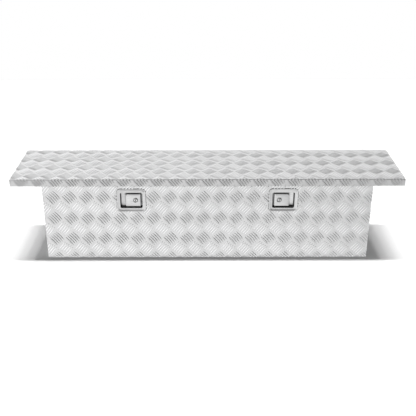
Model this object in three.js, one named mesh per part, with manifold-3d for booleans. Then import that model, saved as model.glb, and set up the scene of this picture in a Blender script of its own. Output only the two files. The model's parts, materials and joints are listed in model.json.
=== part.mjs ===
// Crossover tool box for a pickup truck bed: a folded sheet tub that hangs between the bed rails on
// two wing trays, a flat lid with a lip all round on a piano hinge, two recessed paddle latches with
// key plugs in the front, and two gas struts inside the ends.
// Millimetres. +X to the right seen from the front, +Y from front to rear, +Z up.
// The origin is the centre of the bounding box's bottom face.

import * as THREE from "three";
import { mergeVertices } from "three/addons/utils/BufferGeometryUtils.js";
import Module from "manifold-3d";

const wasm = await Module();
wasm.setup();

// Whole box
const LID_LENGTH = 1778;
const LID_DEPTH = 381;
const HEIGHT = 400;
const LIP_HEIGHT = 33;
const TUB_LENGTH = 1497;
const LID_OVERHANG = 10; // past the tub's front and rear faces
const SHEET = 2; // thickness of the tread sheet
const BEND = 2; // bend radius at the middle of the sheet
const GAP = 0.3; // between pieces that rest on each other

// Rim and wings
const RIM_TOP = 384;
const RIM_FLANGE = 16;
const WING_INSET = 12; // from the lid's end to the wing's edge
const WING_DROP = 0.6; // how far the wing's underside is below the lip
const WELD_GAP = 0.4; // from the end panels to the tub's folded sheet
const SEAL_CORNER = 8;

// Hat channel under the lid
const STIFFENER = { half: 690, height: 16, foot: 42, rootHalf: 24, crownHalf: 19, sheet: 1.5 };

// Hinge
const BARREL_RADIUS = 4.5;
const HINGE_PIN_RADIUS = 2;
const HINGE_LENGTH = 1480;
const HINGE_KNUCKLES = 19;
const KNUCKLE_GAP = 0.5;
const LEAF = 1.5;
const LEAF_WIDTH = 28;
const PIN_PLAY = 0.25; // between the hinge pin and the knuckles' bore

// Latches, in a frame of their own: x away from the box's middle, y into the box, z up
const LATCH_X = 346;
const LATCH_Z = 294;
const FLANGE_WIDTH = 132;
const FLANGE_HEIGHT = 112;
const FLANGE_CORNER = 17;
const FLANGE_SHEET = 1.5;
const DISH_WIDTH = 100;
const DISH_HEIGHT = 74;
const DISH_CORNER = 7;
const DISH_DEPTH = 20;
const DISH_SHEET = 1.2;
const GASKET = 1;
const CLAMP_SHEET = 1.5;
const CUT_CLEARANCE = 1; // between the dish and the hole in the tub's front
const CUT_CORNER = 9;
const STUD = { x: 58.5, z: 30, radius: 2, end: 10, clearance: 0.5 };
const NUT = { radius: 4, height: 3.2 };
const PADDLE = { inner: -42, outer: 26, half: 30.5, sheet: 2, lipDepth: 11, edgeDepth: 8, edgeSheet: 1.5 };
const PADDLE_AXIS = { x: -38, y: 8 };
const PADDLE_PIN_RADIUS = 1.8;
const PADDLE_PIN_PLAY = 0.3;
const PADDLE_BARREL_RADIUS = 4;
const FINGER = { z: 23, half: 4, thickness: 5 }; // the paddle's lever finger, which drives the tongue
const FINGER_SLOT = { inner: 4, outer: 13, half: 6 }; // its hole in the dish, about the paddle's axis
const KEY = { x: -19, radius: 9, face: -2, back: 13, stemRadius: 3, stemEnd: 16, play: 0.4, bossWall: 2.5 };
const KEYWAY = { half: 1.1, length: 10, depth: 5 };
const CAM = { hub: 6, half: 4, length: 29, front: 13.6, rear: 15.2, bore: 3.4 };
const TONGUE = { inner: -85, outer: -20, height: 16, front: 26, rear: 30, bevel: 5 };
const TONGUE_WINDOW = { inner: 3.5, outer: 4.8, half: 4.5 }; // about the paddle's axis
const HOUSING = { inner: -64, outer: 16, sheet: 1.5, room: 2.5, behind: 5, endWall: 2 };
const SPRING = { length: 32, turns: 6, radius: 3, wire: 0.5, gap: 0.8 };
const STRIKER_GAP = 0.5; // from the tongue's tip to the striker at rest
const STRIKER = { sheet: 3, front: 21.5, rear: 39, below: 13, foot: 22, footSheet: 2.5, windowHalf: 9 };

// Gas struts: both ball studs lie at the same distance from the hinge axis, so the strut turns
// through exactly half the lid's angle
const STRUT_X = 715;
const STRUT_FOOT = { y: 125, z: 175 };
const STRUT_HEAD_Z = 378;
const TUBE = { from: 14, end: 215, radius: 9.5, bore: 8.2, mouth: 5, mouthLength: 10, base: 6 };
const ROD = { end: 205, radius: 4, piston: 7.2, pistonLength: 6 };
const BALL_RADIUS = 5.5;
const EYE = { radius: 9.5, play: 0.5, half: 4 };
const SHANK_RADIUS = 3;
const BRACKET_SHEET = 2.5;
const FOOT_PAD = { depth: 44, height: 30, corner: 8 };
const HEAD_BRACKET = { tab: 15, earHalf: 11, earBelow: 9, footHalf: 22, footLength: 13 };

// Worked out from the above
const LID_FRONT = -(LID_DEPTH + GAP + 2 * BARREL_RADIUS) / 2;
const LID_REAR = LID_FRONT + LID_DEPTH;
const LID_UNDER = HEIGHT - SHEET;
const LIP_BOTTOM = HEIGHT - LIP_HEIGHT;
const HINGE = { y: LID_REAR + GAP + BARREL_RADIUS, z: LIP_BOTTOM };
const TUB_FRONT = LID_FRONT + LID_OVERHANG;
const TUB_REAR = LID_REAR - LID_OVERHANG;
const TUB_HALF = TUB_LENGTH / 2;
const WING_HALF = LID_LENGTH / 2 - WING_INSET;
const WING_UNDER = LIP_BOTTOM - WING_DROP;
const FLANGE_BACK = -GASKET - 2 * GAP;
const DISH_BACK = DISH_DEPTH + DISH_SHEET;
const TONGUE_MIDDLE = (TONGUE.front + TONGUE.rear) / 2;
const HINGE_RADIUS = Math.hypot(HINGE.y - STRUT_FOOT.y, HINGE.z - STRUT_FOOT.z);
const STRUT_HEAD_RUN = Math.sqrt(HINGE_RADIUS ** 2 - (STRUT_HEAD_Z - HINGE.z) ** 2);
const STRUT_HEAD = { y: HINGE.y - STRUT_HEAD_RUN, z: STRUT_HEAD_Z };
const STRUT_TILT = Math.atan2(STRUT_FOOT.y - STRUT_HEAD.y, STRUT_HEAD.z - STRUT_FOOT.z);

// ---- Shape helpers ----

const QUARTER = Math.PI / 2;

// Directions that an outline's first and second coordinates take in each plane.
const X = new THREE.Vector3(1, 0, 0);
const Y = new THREE.Vector3(0, 1, 0);
const Z = new THREE.Vector3(0, 0, 1);
const PLANES = { XY: [X, Y], YZ: [Y, Z], ZX: [Z, X] };

// A flat outline made solid between two places on the axis that its plane faces.
function extrude(shape, plane, from, to) {
  const [first, second] = PLANES[plane];
  const along = new THREE.Vector3().crossVectors(first, second);
  const options = { depth: to - from, bevelEnabled: false, curveSegments: 2 };
  const geometry = new THREE.ExtrudeGeometry(shape, options);
  geometry.applyMatrix4(new THREE.Matrix4().makeBasis(first, second, along));
  return geometry.translate(along.x * from, along.y * from, along.z * from);
}

function box(low, high) {
  const size = high.map((value, i) => value - low[i]);
  const geometry = new THREE.BoxGeometry(...size);
  return geometry.translate(...low.map((value, i) => value + size[i] / 2));
}

// A round piece about the Z axis. The profile holds [radius, z] points.
function turned(profile, segments = 16) {
  const points = profile.map(([radius, z]) => new THREE.Vector2(radius, z));
  return new THREE.LatheGeometry(points, segments).rotateX(QUARTER);
}

function rod(radius, from, to, segments = 16) {
  return turned([[0, from], [radius, from], [radius, to], [0, to]], segments);
}

function polygon(points) {
  return new THREE.Shape(points.map(([a, b]) => new THREE.Vector2(a, b)));
}

// An arc added to a path as pieces of a quarter turn or less, so that each is as smooth.
function arc(path, x, y, radius, from, to) {
  const pieces = Math.ceil((to - from) / QUARTER - 1e-6);
  const step = (to - from) / pieces;
  for (let i = 0; i < pieces; i++) {
    path.absarc(x, y, radius, from + i * step, from + (i + 1) * step);
  }
  return path;
}

function circle(radius) {
  return arc(new THREE.Shape(), 0, 0, radius, 0, 4 * QUARTER);
}

function roundedRectangle(width, height, radius) {
  const w = width / 2 - radius;
  const h = height / 2 - radius;
  const shape = new THREE.Shape();
  arc(shape, w, h, radius, 0, QUARTER);
  arc(shape, -w, h, radius, QUARTER, 2 * QUARTER);
  arc(shape, -w, -h, radius, 2 * QUARTER, 3 * QUARTER);
  arc(shape, w, -h, radius, 3 * QUARTER, 4 * QUARTER);
  shape.closePath();
  return shape;
}

// The outline of a sheet folded along a path through its middle, with a round bend at each corner.
function foldedSheet(path, thickness, bend) {
  const points = path.map(([a, b]) => new THREE.Vector2(a, b));
  const middle = [];
  points.forEach((point, i) => {
    const before = i > 0 ? point.clone().sub(points[i - 1]).normalize() : null;
    const after = i < points.length - 1 ? points[i + 1].clone().sub(point).normalize() : null;
    if (!before || !after) {
      middle.push({ point, heading: (after || before).angle() });
      return;
    }
    const turn = Math.atan2(before.cross(after), before.dot(after));
    const tangent = bend * Math.tan(Math.abs(turn) / 2);
    const start = point.clone().addScaledVector(before, -tangent);
    const side = Math.sign(turn);
    const centre = start.clone().add(new THREE.Vector2(-before.y, before.x).multiplyScalar(side * bend));
    const steps = 3;
    for (let step = 0; step <= steps; step++) {
      const heading = before.angle() + (turn * step) / steps;
      const arm = new THREE.Vector2(Math.sin(heading), -Math.cos(heading)).multiplyScalar(side * bend);
      middle.push({ point: centre.clone().add(arm), heading });
    }
  });
  const offset = (entry, distance) => {
    const normal = new THREE.Vector2(-Math.sin(entry.heading), Math.cos(entry.heading));
    return entry.point.clone().addScaledVector(normal, distance);
  };
  const left = middle.map((entry) => offset(entry, thickness / 2));
  const right = middle.map((entry) => offset(entry, -thickness / 2));
  return new THREE.Shape([...right, ...left.reverse()]);
}

function toSolid(geometry) {
  const bare = geometry.clone();
  bare.deleteAttribute("normal");
  bare.deleteAttribute("uv");
  const merged = mergeVertices(bare, 1e-4);
  return new wasm.Manifold(
    new wasm.Mesh({
      numProp: 3,
      vertProperties: merged.attributes.position.array,
      triVerts: new Uint32Array(merged.index.array),
    }),
  );
}

function toGeometry(solid) {
  const mesh = solid.getMesh();
  const geometry = new THREE.BufferGeometry();
  geometry.setAttribute("position", new THREE.BufferAttribute(mesh.vertProperties, 3));
  geometry.setIndex(new THREE.BufferAttribute(mesh.triVerts, 1));
  geometry.computeVertexNormals();
  return geometry;
}

function join(...geometries) {
  return toGeometry(geometries.map(toSolid).reduce((all, solid) => all.add(solid)));
}

function cut(geometry, ...tools) {
  return toGeometry(tools.map(toSolid).reduce((all, solid) => all.subtract(solid), toSolid(geometry)));
}

function overlapOf(first, second) {
  return toGeometry(toSolid(first).intersect(toSolid(second)));
}

// ---- Materials ----

const FINISHES = {
  tread: { color: 0xcfd1d3, roughness: 0.38, metalness: 0.9 },
  stainless: { color: 0xc4c5c6, roughness: 0.25, metalness: 1 },
  zinc: { color: 0xb4b6b8, roughness: 0.4, metalness: 0.9 },
  rubber: { color: 0x1a1a1a, roughness: 0.85, metalness: 0 },
  black_steel: { color: 0x202122, roughness: 0.45, metalness: 0.5 },
};

function piece(name, geometry, finish) {
  const mesh = new THREE.Mesh(geometry, new THREE.MeshStandardMaterial(FINISHES[finish]));
  mesh.name = name;
  return mesh;
}

// ---- Tub ----

function tubShell() {
  const half = SHEET / 2;
  const top = RIM_TOP - half;
  const section = foldedSheet(
    [
      [TUB_FRONT + RIM_FLANGE, top],
      [TUB_FRONT + half, top],
      [TUB_FRONT + half, half],
      [TUB_REAR - half, half],
      [TUB_REAR - half, top],
      [TUB_REAR - RIM_FLANGE, top],
    ],
    SHEET,
    BEND,
  );
  // The front and rear rims run on past the tub as the sides of the wing trays.
  const rim = (tip, wall) => foldedSheet([[tip, top], [wall, top], [wall, WING_UNDER]], SHEET, BEND);
  const frontRim = rim(TUB_FRONT + RIM_FLANGE, TUB_FRONT + half);
  const rearRim = rim(TUB_REAR - RIM_FLANGE, TUB_REAR - half);
  const shell = join(
    extrude(section, "YZ", -TUB_HALF, TUB_HALF),
    extrude(frontRim, "YZ", -WING_HALF, WING_HALF),
    extrude(rearRim, "YZ", -WING_HALF, WING_HALF),
  );
  return cut(shell, ...[-1, 1].flatMap((side) => latchHoles(side * LATCH_X)));
}

// The outline of the hole that the dish goes through.
function dishCutout() {
  const edge = 2 * (DISH_SHEET + CUT_CLEARANCE);
  return roundedRectangle(DISH_HEIGHT + edge, DISH_WIDTH + edge, CUT_CORNER);
}

function studPlaces() {
  return [-1, 1].flatMap((sideX) => [-1, 1].map((sideZ) => [sideX * STUD.x, sideZ * STUD.z]));
}

function studHoles(from, to) {
  return studPlaces().map(([x, z]) => {
    return rod(STUD.radius + STUD.clearance, from, to, 12).rotateX(-QUARTER).translate(x, 0, z);
  });
}

// The dish's hole and the four stud holes in the tub's front.
function latchHoles(x) {
  const [from, to] = [-SHEET, 2 * SHEET];
  const holes = [extrude(dishCutout(), "ZX", from, to), ...studHoles(from, to)];
  return holes.map((hole) => hole.translate(x, TUB_FRONT, LATCH_Z));
}

// The right end panel, folded outwards as the floor and edge of the wing tray.
function tubEnd() {
  const half = SHEET / 2;
  const tray = WING_UNDER + half;
  const section = foldedSheet(
    [
      [SHEET + WELD_GAP, TUB_HALF - half],
      [tray, TUB_HALF - half],
      [tray, WING_HALF - half],
      [RIM_TOP - half, WING_HALF - half],
      [RIM_TOP - half, WING_HALF - RIM_FLANGE],
    ],
    SHEET,
    BEND,
  );
  const front = TUB_FRONT + SHEET + WELD_GAP;
  const rear = TUB_REAR - SHEET - WELD_GAP;
  // The rims of the front and rear pass over the ends of the folded edge.
  const notch = (from, to) => box([TUB_HALF, from, RIM_TOP - SHEET - 1], [WING_HALF + 1, to, RIM_TOP + 1]);
  return cut(
    extrude(section, "ZX", front, rear),
    notch(front - 1, TUB_FRONT + RIM_FLANGE + GAP),
    notch(TUB_REAR - RIM_FLANGE - GAP, rear + 1),
  );
}

function weatherSeal() {
  const outer = { x: WING_HALF - SHEET, front: TUB_FRONT + SHEET, rear: TUB_REAR - SHEET };
  const width = RIM_FLANGE - 2 * SHEET;
  const depth = outer.rear - outer.front;
  const ring = roundedRectangle(2 * outer.x, depth, SEAL_CORNER);
  ring.holes.push(roundedRectangle(2 * (outer.x - width), depth - 2 * width, SEAL_CORNER / 2));
  const seal = extrude(ring, "XY", RIM_TOP + GAP, LID_UNDER - GAP);
  return seal.translate(0, (outer.front + outer.rear) / 2, 0);
}

// ---- Lid ----

// A block with its top edges rounded along all four sides.
function roundTopBlock(inset, top, radius) {
  const x = LID_LENGTH / 2 - inset;
  const front = LID_FRONT + inset;
  const rear = LID_REAR - inset;
  const low = LIP_BOTTOM - (inset ? 1 : 0);
  const outline = (from, to) => {
    const shape = new THREE.Shape();
    shape.moveTo(from, low);
    shape.lineTo(to, low);
    arc(shape, to - radius, top - radius, radius, 0, QUARTER);
    arc(shape, from + radius, top - radius, radius, QUARTER, 2 * QUARTER);
    shape.closePath();
    return shape;
  };
  const alongX = extrude(outline(front, rear), "YZ", -x, x);
  const alongY = extrude(outline(-x, x), "XY", 0, rear - front).rotateX(QUARTER).translate(0, rear, 0);
  return overlapOf(alongX, alongY);
}

function lidShell() {
  const outside = roundTopBlock(0, HEIGHT, BEND + SHEET / 2);
  const inside = roundTopBlock(SHEET, LID_UNDER, BEND - SHEET / 2);
  return cut(outside, inside);
}

// Hat channel bonded under the lid between the struts.
function lidStiffener() {
  const { half, height, foot, rootHalf, crownHalf, sheet } = STIFFENER;
  const top = LID_UNDER - GAP - sheet / 2;
  const low = top - height;
  const right = [[crownHalf, low], [rootHalf, top], [foot, top]];
  const left = right.map(([y, z]) => [-y, z]).reverse();
  return extrude(foldedSheet([...left, ...right], sheet, BEND), "YZ", -half, half);
}

// ---- Piano hinge ----

// The middle of knuckle i, and half of its length.
function knuckle(i) {
  const pitch = HINGE_LENGTH / HINGE_KNUCKLES;
  return { x: -HINGE_LENGTH / 2 + (i + 0.5) * pitch, half: (pitch - KNUCKLE_GAP) / 2 };
}

// A knuckle's section: a ring with a tab, LEAF thick, that runs off tangent to the barrel along the
// outline's first axis.
function knuckleSection(tab) {
  const inner = BARREL_RADIUS - LEAF;
  const shape = new THREE.Shape();
  shape.moveTo(-tab, -inner);
  shape.lineTo(-tab, -BARREL_RADIUS);
  shape.lineTo(0, -BARREL_RADIUS);
  arc(shape, 0, 0, BARREL_RADIUS, -QUARTER, Math.PI + Math.asin(inner / BARREL_RADIUS));
  shape.closePath();
  shape.holes.push(circle(HINGE_PIN_RADIUS + PIN_PLAY));
  return shape;
}

// Every other knuckle from the first, with its tab turned about the barrel.
function knuckles(first, turn) {
  const rings = [];
  for (let i = first; i < HINGE_KNUCKLES; i += 2) {
    const { x, half } = knuckle(i);
    const ring = extrude(knuckleSection(BARREL_RADIUS + LEAF), "YZ", x - half, x + half);
    rings.push(ring.rotateX(turn).translate(0, HINGE.y, HINGE.z));
  }
  return rings;
}

// The tub's leaf runs forward under the lid's rear lip and down the tub's rear wall.
function hingeTubLeaf() {
  const level = HINGE.z - BARREL_RADIUS + LEAF / 2;
  const wall = TUB_REAR + GAP + LEAF / 2;
  const path = [[HINGE.y - BARREL_RADIUS - KNUCKLE_GAP, level], [wall, level], [wall, HINGE.z - LEAF_WIDTH]];
  const leaf = extrude(foldedSheet(path, LEAF, BEND), "YZ", -HINGE_LENGTH / 2, HINGE_LENGTH / 2);
  return join(leaf, ...knuckles(0, 0));
}

// The lid's leaf stands behind the rear lip.
function hingeLidLeaf() {
  const near = HINGE.y - BARREL_RADIUS;
  const leaf = box(
    [-HINGE_LENGTH / 2, near, HINGE.z + BARREL_RADIUS + KNUCKLE_GAP],
    [HINGE_LENGTH / 2, near + LEAF, HINGE.z + LEAF_WIDTH],
  );
  // A quarter turn stands the tabs up on the front of the barrel.
  return join(leaf, ...knuckles(1, -QUARTER));
}

function hingePin() {
  return rod(HINGE_PIN_RADIUS, -HINGE_LENGTH / 2 - 1, HINGE_LENGTH / 2 + 1, 12)
    .rotateY(QUARTER)
    .translate(0, HINGE.y, HINGE.z);
}

// ---- Latch ----

function plate(shape, from, to) {
  return extrude(shape, "ZX", from, to);
}

// A pressed dish behind a flat flange, with four weld studs on the flange's back.
function latchDish() {
  const flangeShape = roundedRectangle(FLANGE_HEIGHT, FLANGE_WIDTH, FLANGE_CORNER);
  const flange = plate(flangeShape, FLANGE_BACK - FLANGE_SHEET, FLANGE_BACK);
  const wall = 2 * DISH_SHEET;
  const inside = FLANGE_BACK - 0.5; // the pan and the studs start within the flange
  const panShape = roundedRectangle(DISH_HEIGHT + wall, DISH_WIDTH + wall, DISH_CORNER + DISH_SHEET);
  const pan = plate(panShape, inside, DISH_BACK);
  const studs = studPlaces().map(([x, z]) => {
    return rod(STUD.radius, inside, STUD.end, 12).rotateX(-QUARTER).translate(x, 0, z);
  });
  const recess = plate(roundedRectangle(DISH_HEIGHT, DISH_WIDTH, DISH_CORNER), FLANGE_BACK - 5, DISH_DEPTH);
  const fingerSlot = box(
    [PADDLE_AXIS.x - FINGER_SLOT.inner, DISH_DEPTH - 1, FINGER.z - FINGER_SLOT.half],
    [PADDLE_AXIS.x + FINGER_SLOT.outer, DISH_BACK + 1, FINGER.z + FINGER_SLOT.half],
  );
  const holeRadius = PADDLE_PIN_RADIUS + PADDLE_PIN_PLAY;
  const pinHole = rod(holeRadius, -DISH_HEIGHT, DISH_HEIGHT, 12).translate(PADDLE_AXIS.x, PADDLE_AXIS.y, 0);
  return cut(join(flange, pan, ...studs), recess, fingerSlot, pinHole);
}

// A flat frame around the dish, within the flange's outline.
function dishFrame(from, to, margin) {
  const width = FLANGE_WIDTH - 2 * margin;
  const height = FLANGE_HEIGHT - 2 * margin;
  const shape = roundedRectangle(height, width, FLANGE_CORNER - margin);
  shape.holes.push(dishCutout());
  return cut(plate(shape, from, to), ...studHoles(from - 1, to + 1));
}

function latchGasket() {
  return dishFrame(-GAP - GASKET, -GAP, 1.5);
}

function latchClamp() {
  return dishFrame(SHEET + GAP, SHEET + GAP + CLAMP_SHEET, 1);
}

function latchNut(x, z) {
  const from = SHEET + 2 * GAP + CLAMP_SHEET;
  const corners = [0, 1, 2, 3, 4, 5].map((i) => (i * Math.PI) / 3);
  const shape = polygon(corners.map((angle) => [NUT.radius * Math.cos(angle), NUT.radius * Math.sin(angle)]));
  shape.holes.push(circle(STUD.radius + PIN_PLAY));
  return plate(shape, from, from + NUT.height).translate(x, 0, z);
}

// A rod into the box at the key plug's centre.
function keyRod(radius, from, to) {
  return rod(radius, from, to, 24).rotateX(-QUARTER).translate(KEY.x, 0, 0);
}

// The paddle's front plate with its curled finger lip, seen along the paddle's axis.
function paddleSkin() {
  const middle = PADDLE.sheet / 2;
  const lip = PADDLE.outer - middle;
  const path = [[PADDLE.inner, middle], [lip - 7, middle], [lip, 6], [lip, PADDLE.lipDepth]];
  return foldedSheet(path, PADDLE.sheet, 4);
}

// The paddle: its skin, folded edges, a barrel round its pin, a boss round its key plug and a lever
// finger that reaches through the dish to the tongue.
function paddle() {
  const { inner, outer, half, edgeDepth, edgeSheet } = PADDLE;
  const { x, y } = PADDLE_AXIS;
  const edge = polygon([[inner, 1], [outer - 9, 1], [outer - 12, edgeDepth], [inner + 1, edgeDepth]]);
  const lever = FINGER.thickness / 2;
  const body = join(
    extrude(paddleSkin(), "XY", -half, half),
    extrude(edge, "XY", -half, edgeSheet - half),
    extrude(edge, "XY", half - edgeSheet, half),
    box([x - 1.5, 1, -half], [x + 1.5, y, half]),
    rod(PADDLE_BARREL_RADIUS, -half, half).translate(x, y, 0),
    box([x - lever, y, FINGER.z - FINGER.half], [x + lever, TONGUE.rear + 1, FINGER.z + FINGER.half]),
    keyRod(KEY.radius + KEY.bossWall, 1, KEY.back - 1),
  );
  const pinHole = rod(PADDLE_PIN_RADIUS + PADDLE_PIN_PLAY, -half - 1, half + 1, 12).translate(x, y, 0);
  return cut(body, keyRod(KEY.radius + KEY.play, -5, DISH_DEPTH), pinHole);
}

function paddlePin() {
  const end = DISH_HEIGHT / 2 + DISH_SHEET;
  return rod(PADDLE_PIN_RADIUS, -end, end, 12).translate(PADDLE_AXIS.x, PADDLE_AXIS.y, 0);
}

function keyCylinder() {
  const { radius, face, back, stemRadius, stemEnd } = KEY;
  const profile = [
    [0, face],
    [radius - 1, face],
    [radius, face + 1],
    [radius, back],
    [stemRadius, back],
    [stemRadius, stemEnd],
    [0, stemEnd],
  ];
  const plug = turned(profile, 24).rotateX(-QUARTER);
  const { half, length, depth } = KEYWAY;
  const keyway = box([-half, face - 1, -length / 2], [half, face + depth, length / 2]);
  return cut(plug, keyway).translate(KEY.x, 0, 0);
}

// The cam points away from the box's middle when unlocked.
function lockCam() {
  const shape = new THREE.Shape();
  arc(shape, 0, 0, CAM.hub, 2 * QUARTER, 4 * QUARTER);
  shape.lineTo(CAM.half, CAM.length);
  shape.lineTo(-CAM.half, CAM.length);
  shape.closePath();
  shape.holes.push(circle(CAM.bore));
  return plate(shape, CAM.front, CAM.rear).translate(KEY.x, 0, 0);
}

// A channel behind the dish that guides the tongue, with an end wall for the spring.
function latchHousing() {
  const { inner, outer, sheet, room, behind, endWall } = HOUSING;
  const front = DISH_BACK + GAP;
  const half = TONGUE.height / 2 + room;
  const rear = TONGUE.rear + behind;
  const body = box([inner, front, FINGER.z - half], [outer, rear, FINGER.z + half]);
  const channel = box(
    [inner - 1, front - 1, FINGER.z - half + sheet],
    [outer - endWall, rear - sheet, FINGER.z + half - sheet],
  );
  return cut(body, channel);
}

function latchTongue() {
  const { inner, outer, bevel, front, rear } = TONGUE;
  const low = FINGER.z - TONGUE.height / 2;
  const high = FINGER.z + TONGUE.height / 2;
  const bevelled = [[high - bevel, inner], [high, inner + bevel]];
  const bar = polygon([[low, inner], ...bevelled, [high, outer], [low, outer]]);
  const window = box(
    [PADDLE_AXIS.x - TONGUE_WINDOW.inner, front - 1, FINGER.z - TONGUE_WINDOW.half],
    [PADDLE_AXIS.x + TONGUE_WINDOW.outer, rear + 1, FINGER.z + TONGUE_WINDOW.half],
  );
  return cut(plate(bar, front, rear), window);
}

function tongueSpring() {
  const { length, turns, radius, wire, gap } = SPRING;
  const steps = 8 * turns;
  const points = [];
  for (let i = 0; i <= steps; i++) {
    const angle = (2 * Math.PI * turns * i) / steps;
    points.push(new THREE.Vector3((length * i) / steps, radius * Math.cos(angle), radius * Math.sin(angle)));
  }
  const options = {
    extrudePath: new THREE.CatmullRomCurve3(points),
    steps,
    curveSegments: 1,
    bevelEnabled: false,
  };
  const coil = new THREE.ExtrudeGeometry(circle(wire), options);
  return coil.translate(TONGUE.outer + gap, TONGUE_MIDDLE, FINGER.z);
}

function latch() {
  const assembly = new THREE.Group();
  assembly.position.set(LATCH_X, TUB_FRONT, LATCH_Z);
  assembly.add(piece("latch_dish", latchDish(), "stainless"));
  assembly.add(piece("latch_gasket", latchGasket(), "rubber"));
  assembly.add(piece("latch_clamp", latchClamp(), "zinc"));
  studPlaces().forEach(([x, z], i) => assembly.add(piece(`latch_nut_${i + 1}`, latchNut(x, z), "zinc")));
  assembly.add(piece("paddle", paddle(), "stainless"));
  assembly.add(piece("paddle_pin", paddlePin(), "zinc"));
  assembly.add(piece("key_cylinder", keyCylinder(), "stainless"));
  assembly.add(piece("lock_cam", lockCam(), "zinc"));
  assembly.add(piece("latch_housing", latchHousing(), "zinc"));
  assembly.add(piece("latch_tongue", latchTongue(), "zinc"));
  assembly.add(piece("tongue_spring", tongueSpring(), "zinc"));
  return assembly;
}

// The striker plate hangs from the lid just past the tongue's tip. Its window takes the tongue.
function striker() {
  const { sheet, below, foot, footSheet, windowHalf } = STRIKER;
  const face = LATCH_X + TONGUE.inner - STRIKER_GAP;
  const middle = LATCH_Z + FINGER.z;
  const front = TUB_FRONT + STRIKER.front;
  const rear = TUB_FRONT + STRIKER.rear;
  const top = LID_UNDER - GAP;
  const blade = box([face - sheet, front, middle - below], [face, rear, top]);
  const footPlate = box([face - foot, front, top - footSheet], [face, rear, top]);
  const slotHalf = (TONGUE.rear - TONGUE.front) / 2 + 1.5;
  const slotY = TUB_FRONT + TONGUE_MIDDLE;
  const window = box(
    [face - sheet - 1, slotY - slotHalf, middle - windowHalf],
    [face + 1, slotY + slotHalf, middle + windowHalf],
  );
  return cut(join(blade, footPlate), window);
}

// ---- Gas struts ----

// A ball stud along +X, with its ball at the origin.
function ballStud(length) {
  const ball = new THREE.SphereGeometry(BALL_RADIUS, 12, 8);
  return join(ball, rod(SHANK_RADIUS, 0, length, 12).rotateY(QUARTER));
}

// The ring that goes round a ball.
function ballEye() {
  const shape = circle(EYE.radius);
  shape.holes.push(circle(BALL_RADIUS + EYE.play));
  return extrude(shape, "YZ", -EYE.half, EYE.half);
}

function strutTubBracket() {
  const face = TUB_HALF - SHEET - GAP - STRUT_X;
  const shape = roundedRectangle(FOOT_PAD.depth, FOOT_PAD.height, FOOT_PAD.corner);
  const pad = extrude(shape, "YZ", face - BRACKET_SHEET, face);
  return join(pad, ballStud(face - 1)).translate(STRUT_X, STRUT_FOOT.y, STRUT_FOOT.z);
}

function strutLidBracket() {
  const { tab, earHalf, earBelow, footHalf, footLength } = HEAD_BRACKET;
  const top = LID_UNDER - GAP - STRUT_HEAD.z;
  const ear = box([tab, -earHalf, -earBelow], [tab + BRACKET_SHEET, earHalf, top]);
  const foot = box([tab - footLength, -footHalf, top - BRACKET_SHEET], [tab + BRACKET_SHEET, footHalf, top]);
  return join(ear, foot, ballStud(tab + 1)).translate(STRUT_X, STRUT_HEAD.y, STRUT_HEAD.z);
}

// The tube stands on its foot's ball, with its axis along +Z.
function strutCylinder() {
  const { from, end, radius, bore, mouth, mouthLength, base } = TUBE;
  const tube = turned([
    [0, from],
    [radius, from],
    [radius, end - 2],
    [radius - 2, end],
    [mouth, end],
    [mouth, end - mouthLength],
    [bore, end - mouthLength],
    [bore, from + base],
    [0, from + base],
  ]);
  return join(tube, rod(ROD.radius, BALL_RADIUS + 2, from + 1, 12), ballEye());
}

// The rod hangs from its head's ball, with its axis along -Z.
function strutRod() {
  const neck = -BALL_RADIUS - 2.5;
  const bar = turned([
    [0, -ROD.end],
    [ROD.piston, -ROD.end],
    [ROD.piston, ROD.pistonLength - ROD.end],
    [ROD.radius, ROD.pistonLength - ROD.end],
    [ROD.radius, neck],
    [0, neck],
  ]);
  return join(bar, ballEye());
}

function strut() {
  const assembly = new THREE.Group();
  const cylinder = piece("strut_cylinder", strutCylinder(), "black_steel");
  cylinder.position.set(STRUT_X, STRUT_FOOT.y, STRUT_FOOT.z);
  cylinder.rotation.x = STRUT_TILT;
  const bar = piece("strut_rod", strutRod(), "stainless");
  bar.position.set(STRUT_X, STRUT_HEAD.y, STRUT_HEAD.z);
  bar.rotation.x = STRUT_TILT;
  assembly.add(cylinder, bar);
  assembly.add(piece("strut_tub_bracket", strutTubBracket(), "zinc"));
  assembly.add(piece("strut_lid_bracket", strutLidBracket(), "zinc"));
  return assembly;
}

// ---- The whole box ----

// Both sides of a set of pieces that is made for the right side: the left one is its mirror image.
function bothSides(make) {
  const pair = new THREE.Group();
  for (const [side, scale] of [["right", 1], ["left", -1]]) {
    const copy = make();
    const holder = new THREE.Group();
    holder.scale.x = scale;
    holder.add(copy);
    copy.traverse((object) => {
      if (object.isMesh) object.name = `${object.name}_${side}`;
    });
    pair.add(holder);
  }
  return pair;
}

const group = new THREE.Group();
group.add(piece("tub_shell", tubShell(), "tread"));
group.add(piece("weather_seal", weatherSeal(), "rubber"));
group.add(piece("lid_shell", lidShell(), "tread"));
group.add(piece("lid_stiffener", lidStiffener(), "tread"));
group.add(piece("hinge_tub_leaf", hingeTubLeaf(), "zinc"));
group.add(piece("hinge_lid_leaf", hingeLidLeaf(), "zinc"));
group.add(piece("hinge_pin", hingePin(), "zinc"));
group.add(bothSides(() => piece("tub_end", tubEnd(), "tread")));
group.add(bothSides(latch));
group.add(bothSides(() => piece("striker", striker(), "zinc")));
group.add(bothSides(strut));

export default group;
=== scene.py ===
"""Looks for the crossover truck tool box: embossed tread sheets folded from flat patterns, pressed
stainless paddle latches, a piano hinge, rubber seals and gas struts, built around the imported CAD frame.

Lengths are in millimetres in the row frame (+X right, +Y to the rear, +Z up) until a mesh is made."""
import json
import math

import bmesh
import bpy
import numpy as np
from mathutils import Matrix, Vector
from mathutils.geometry import delaunay_2d_cdt


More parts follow.
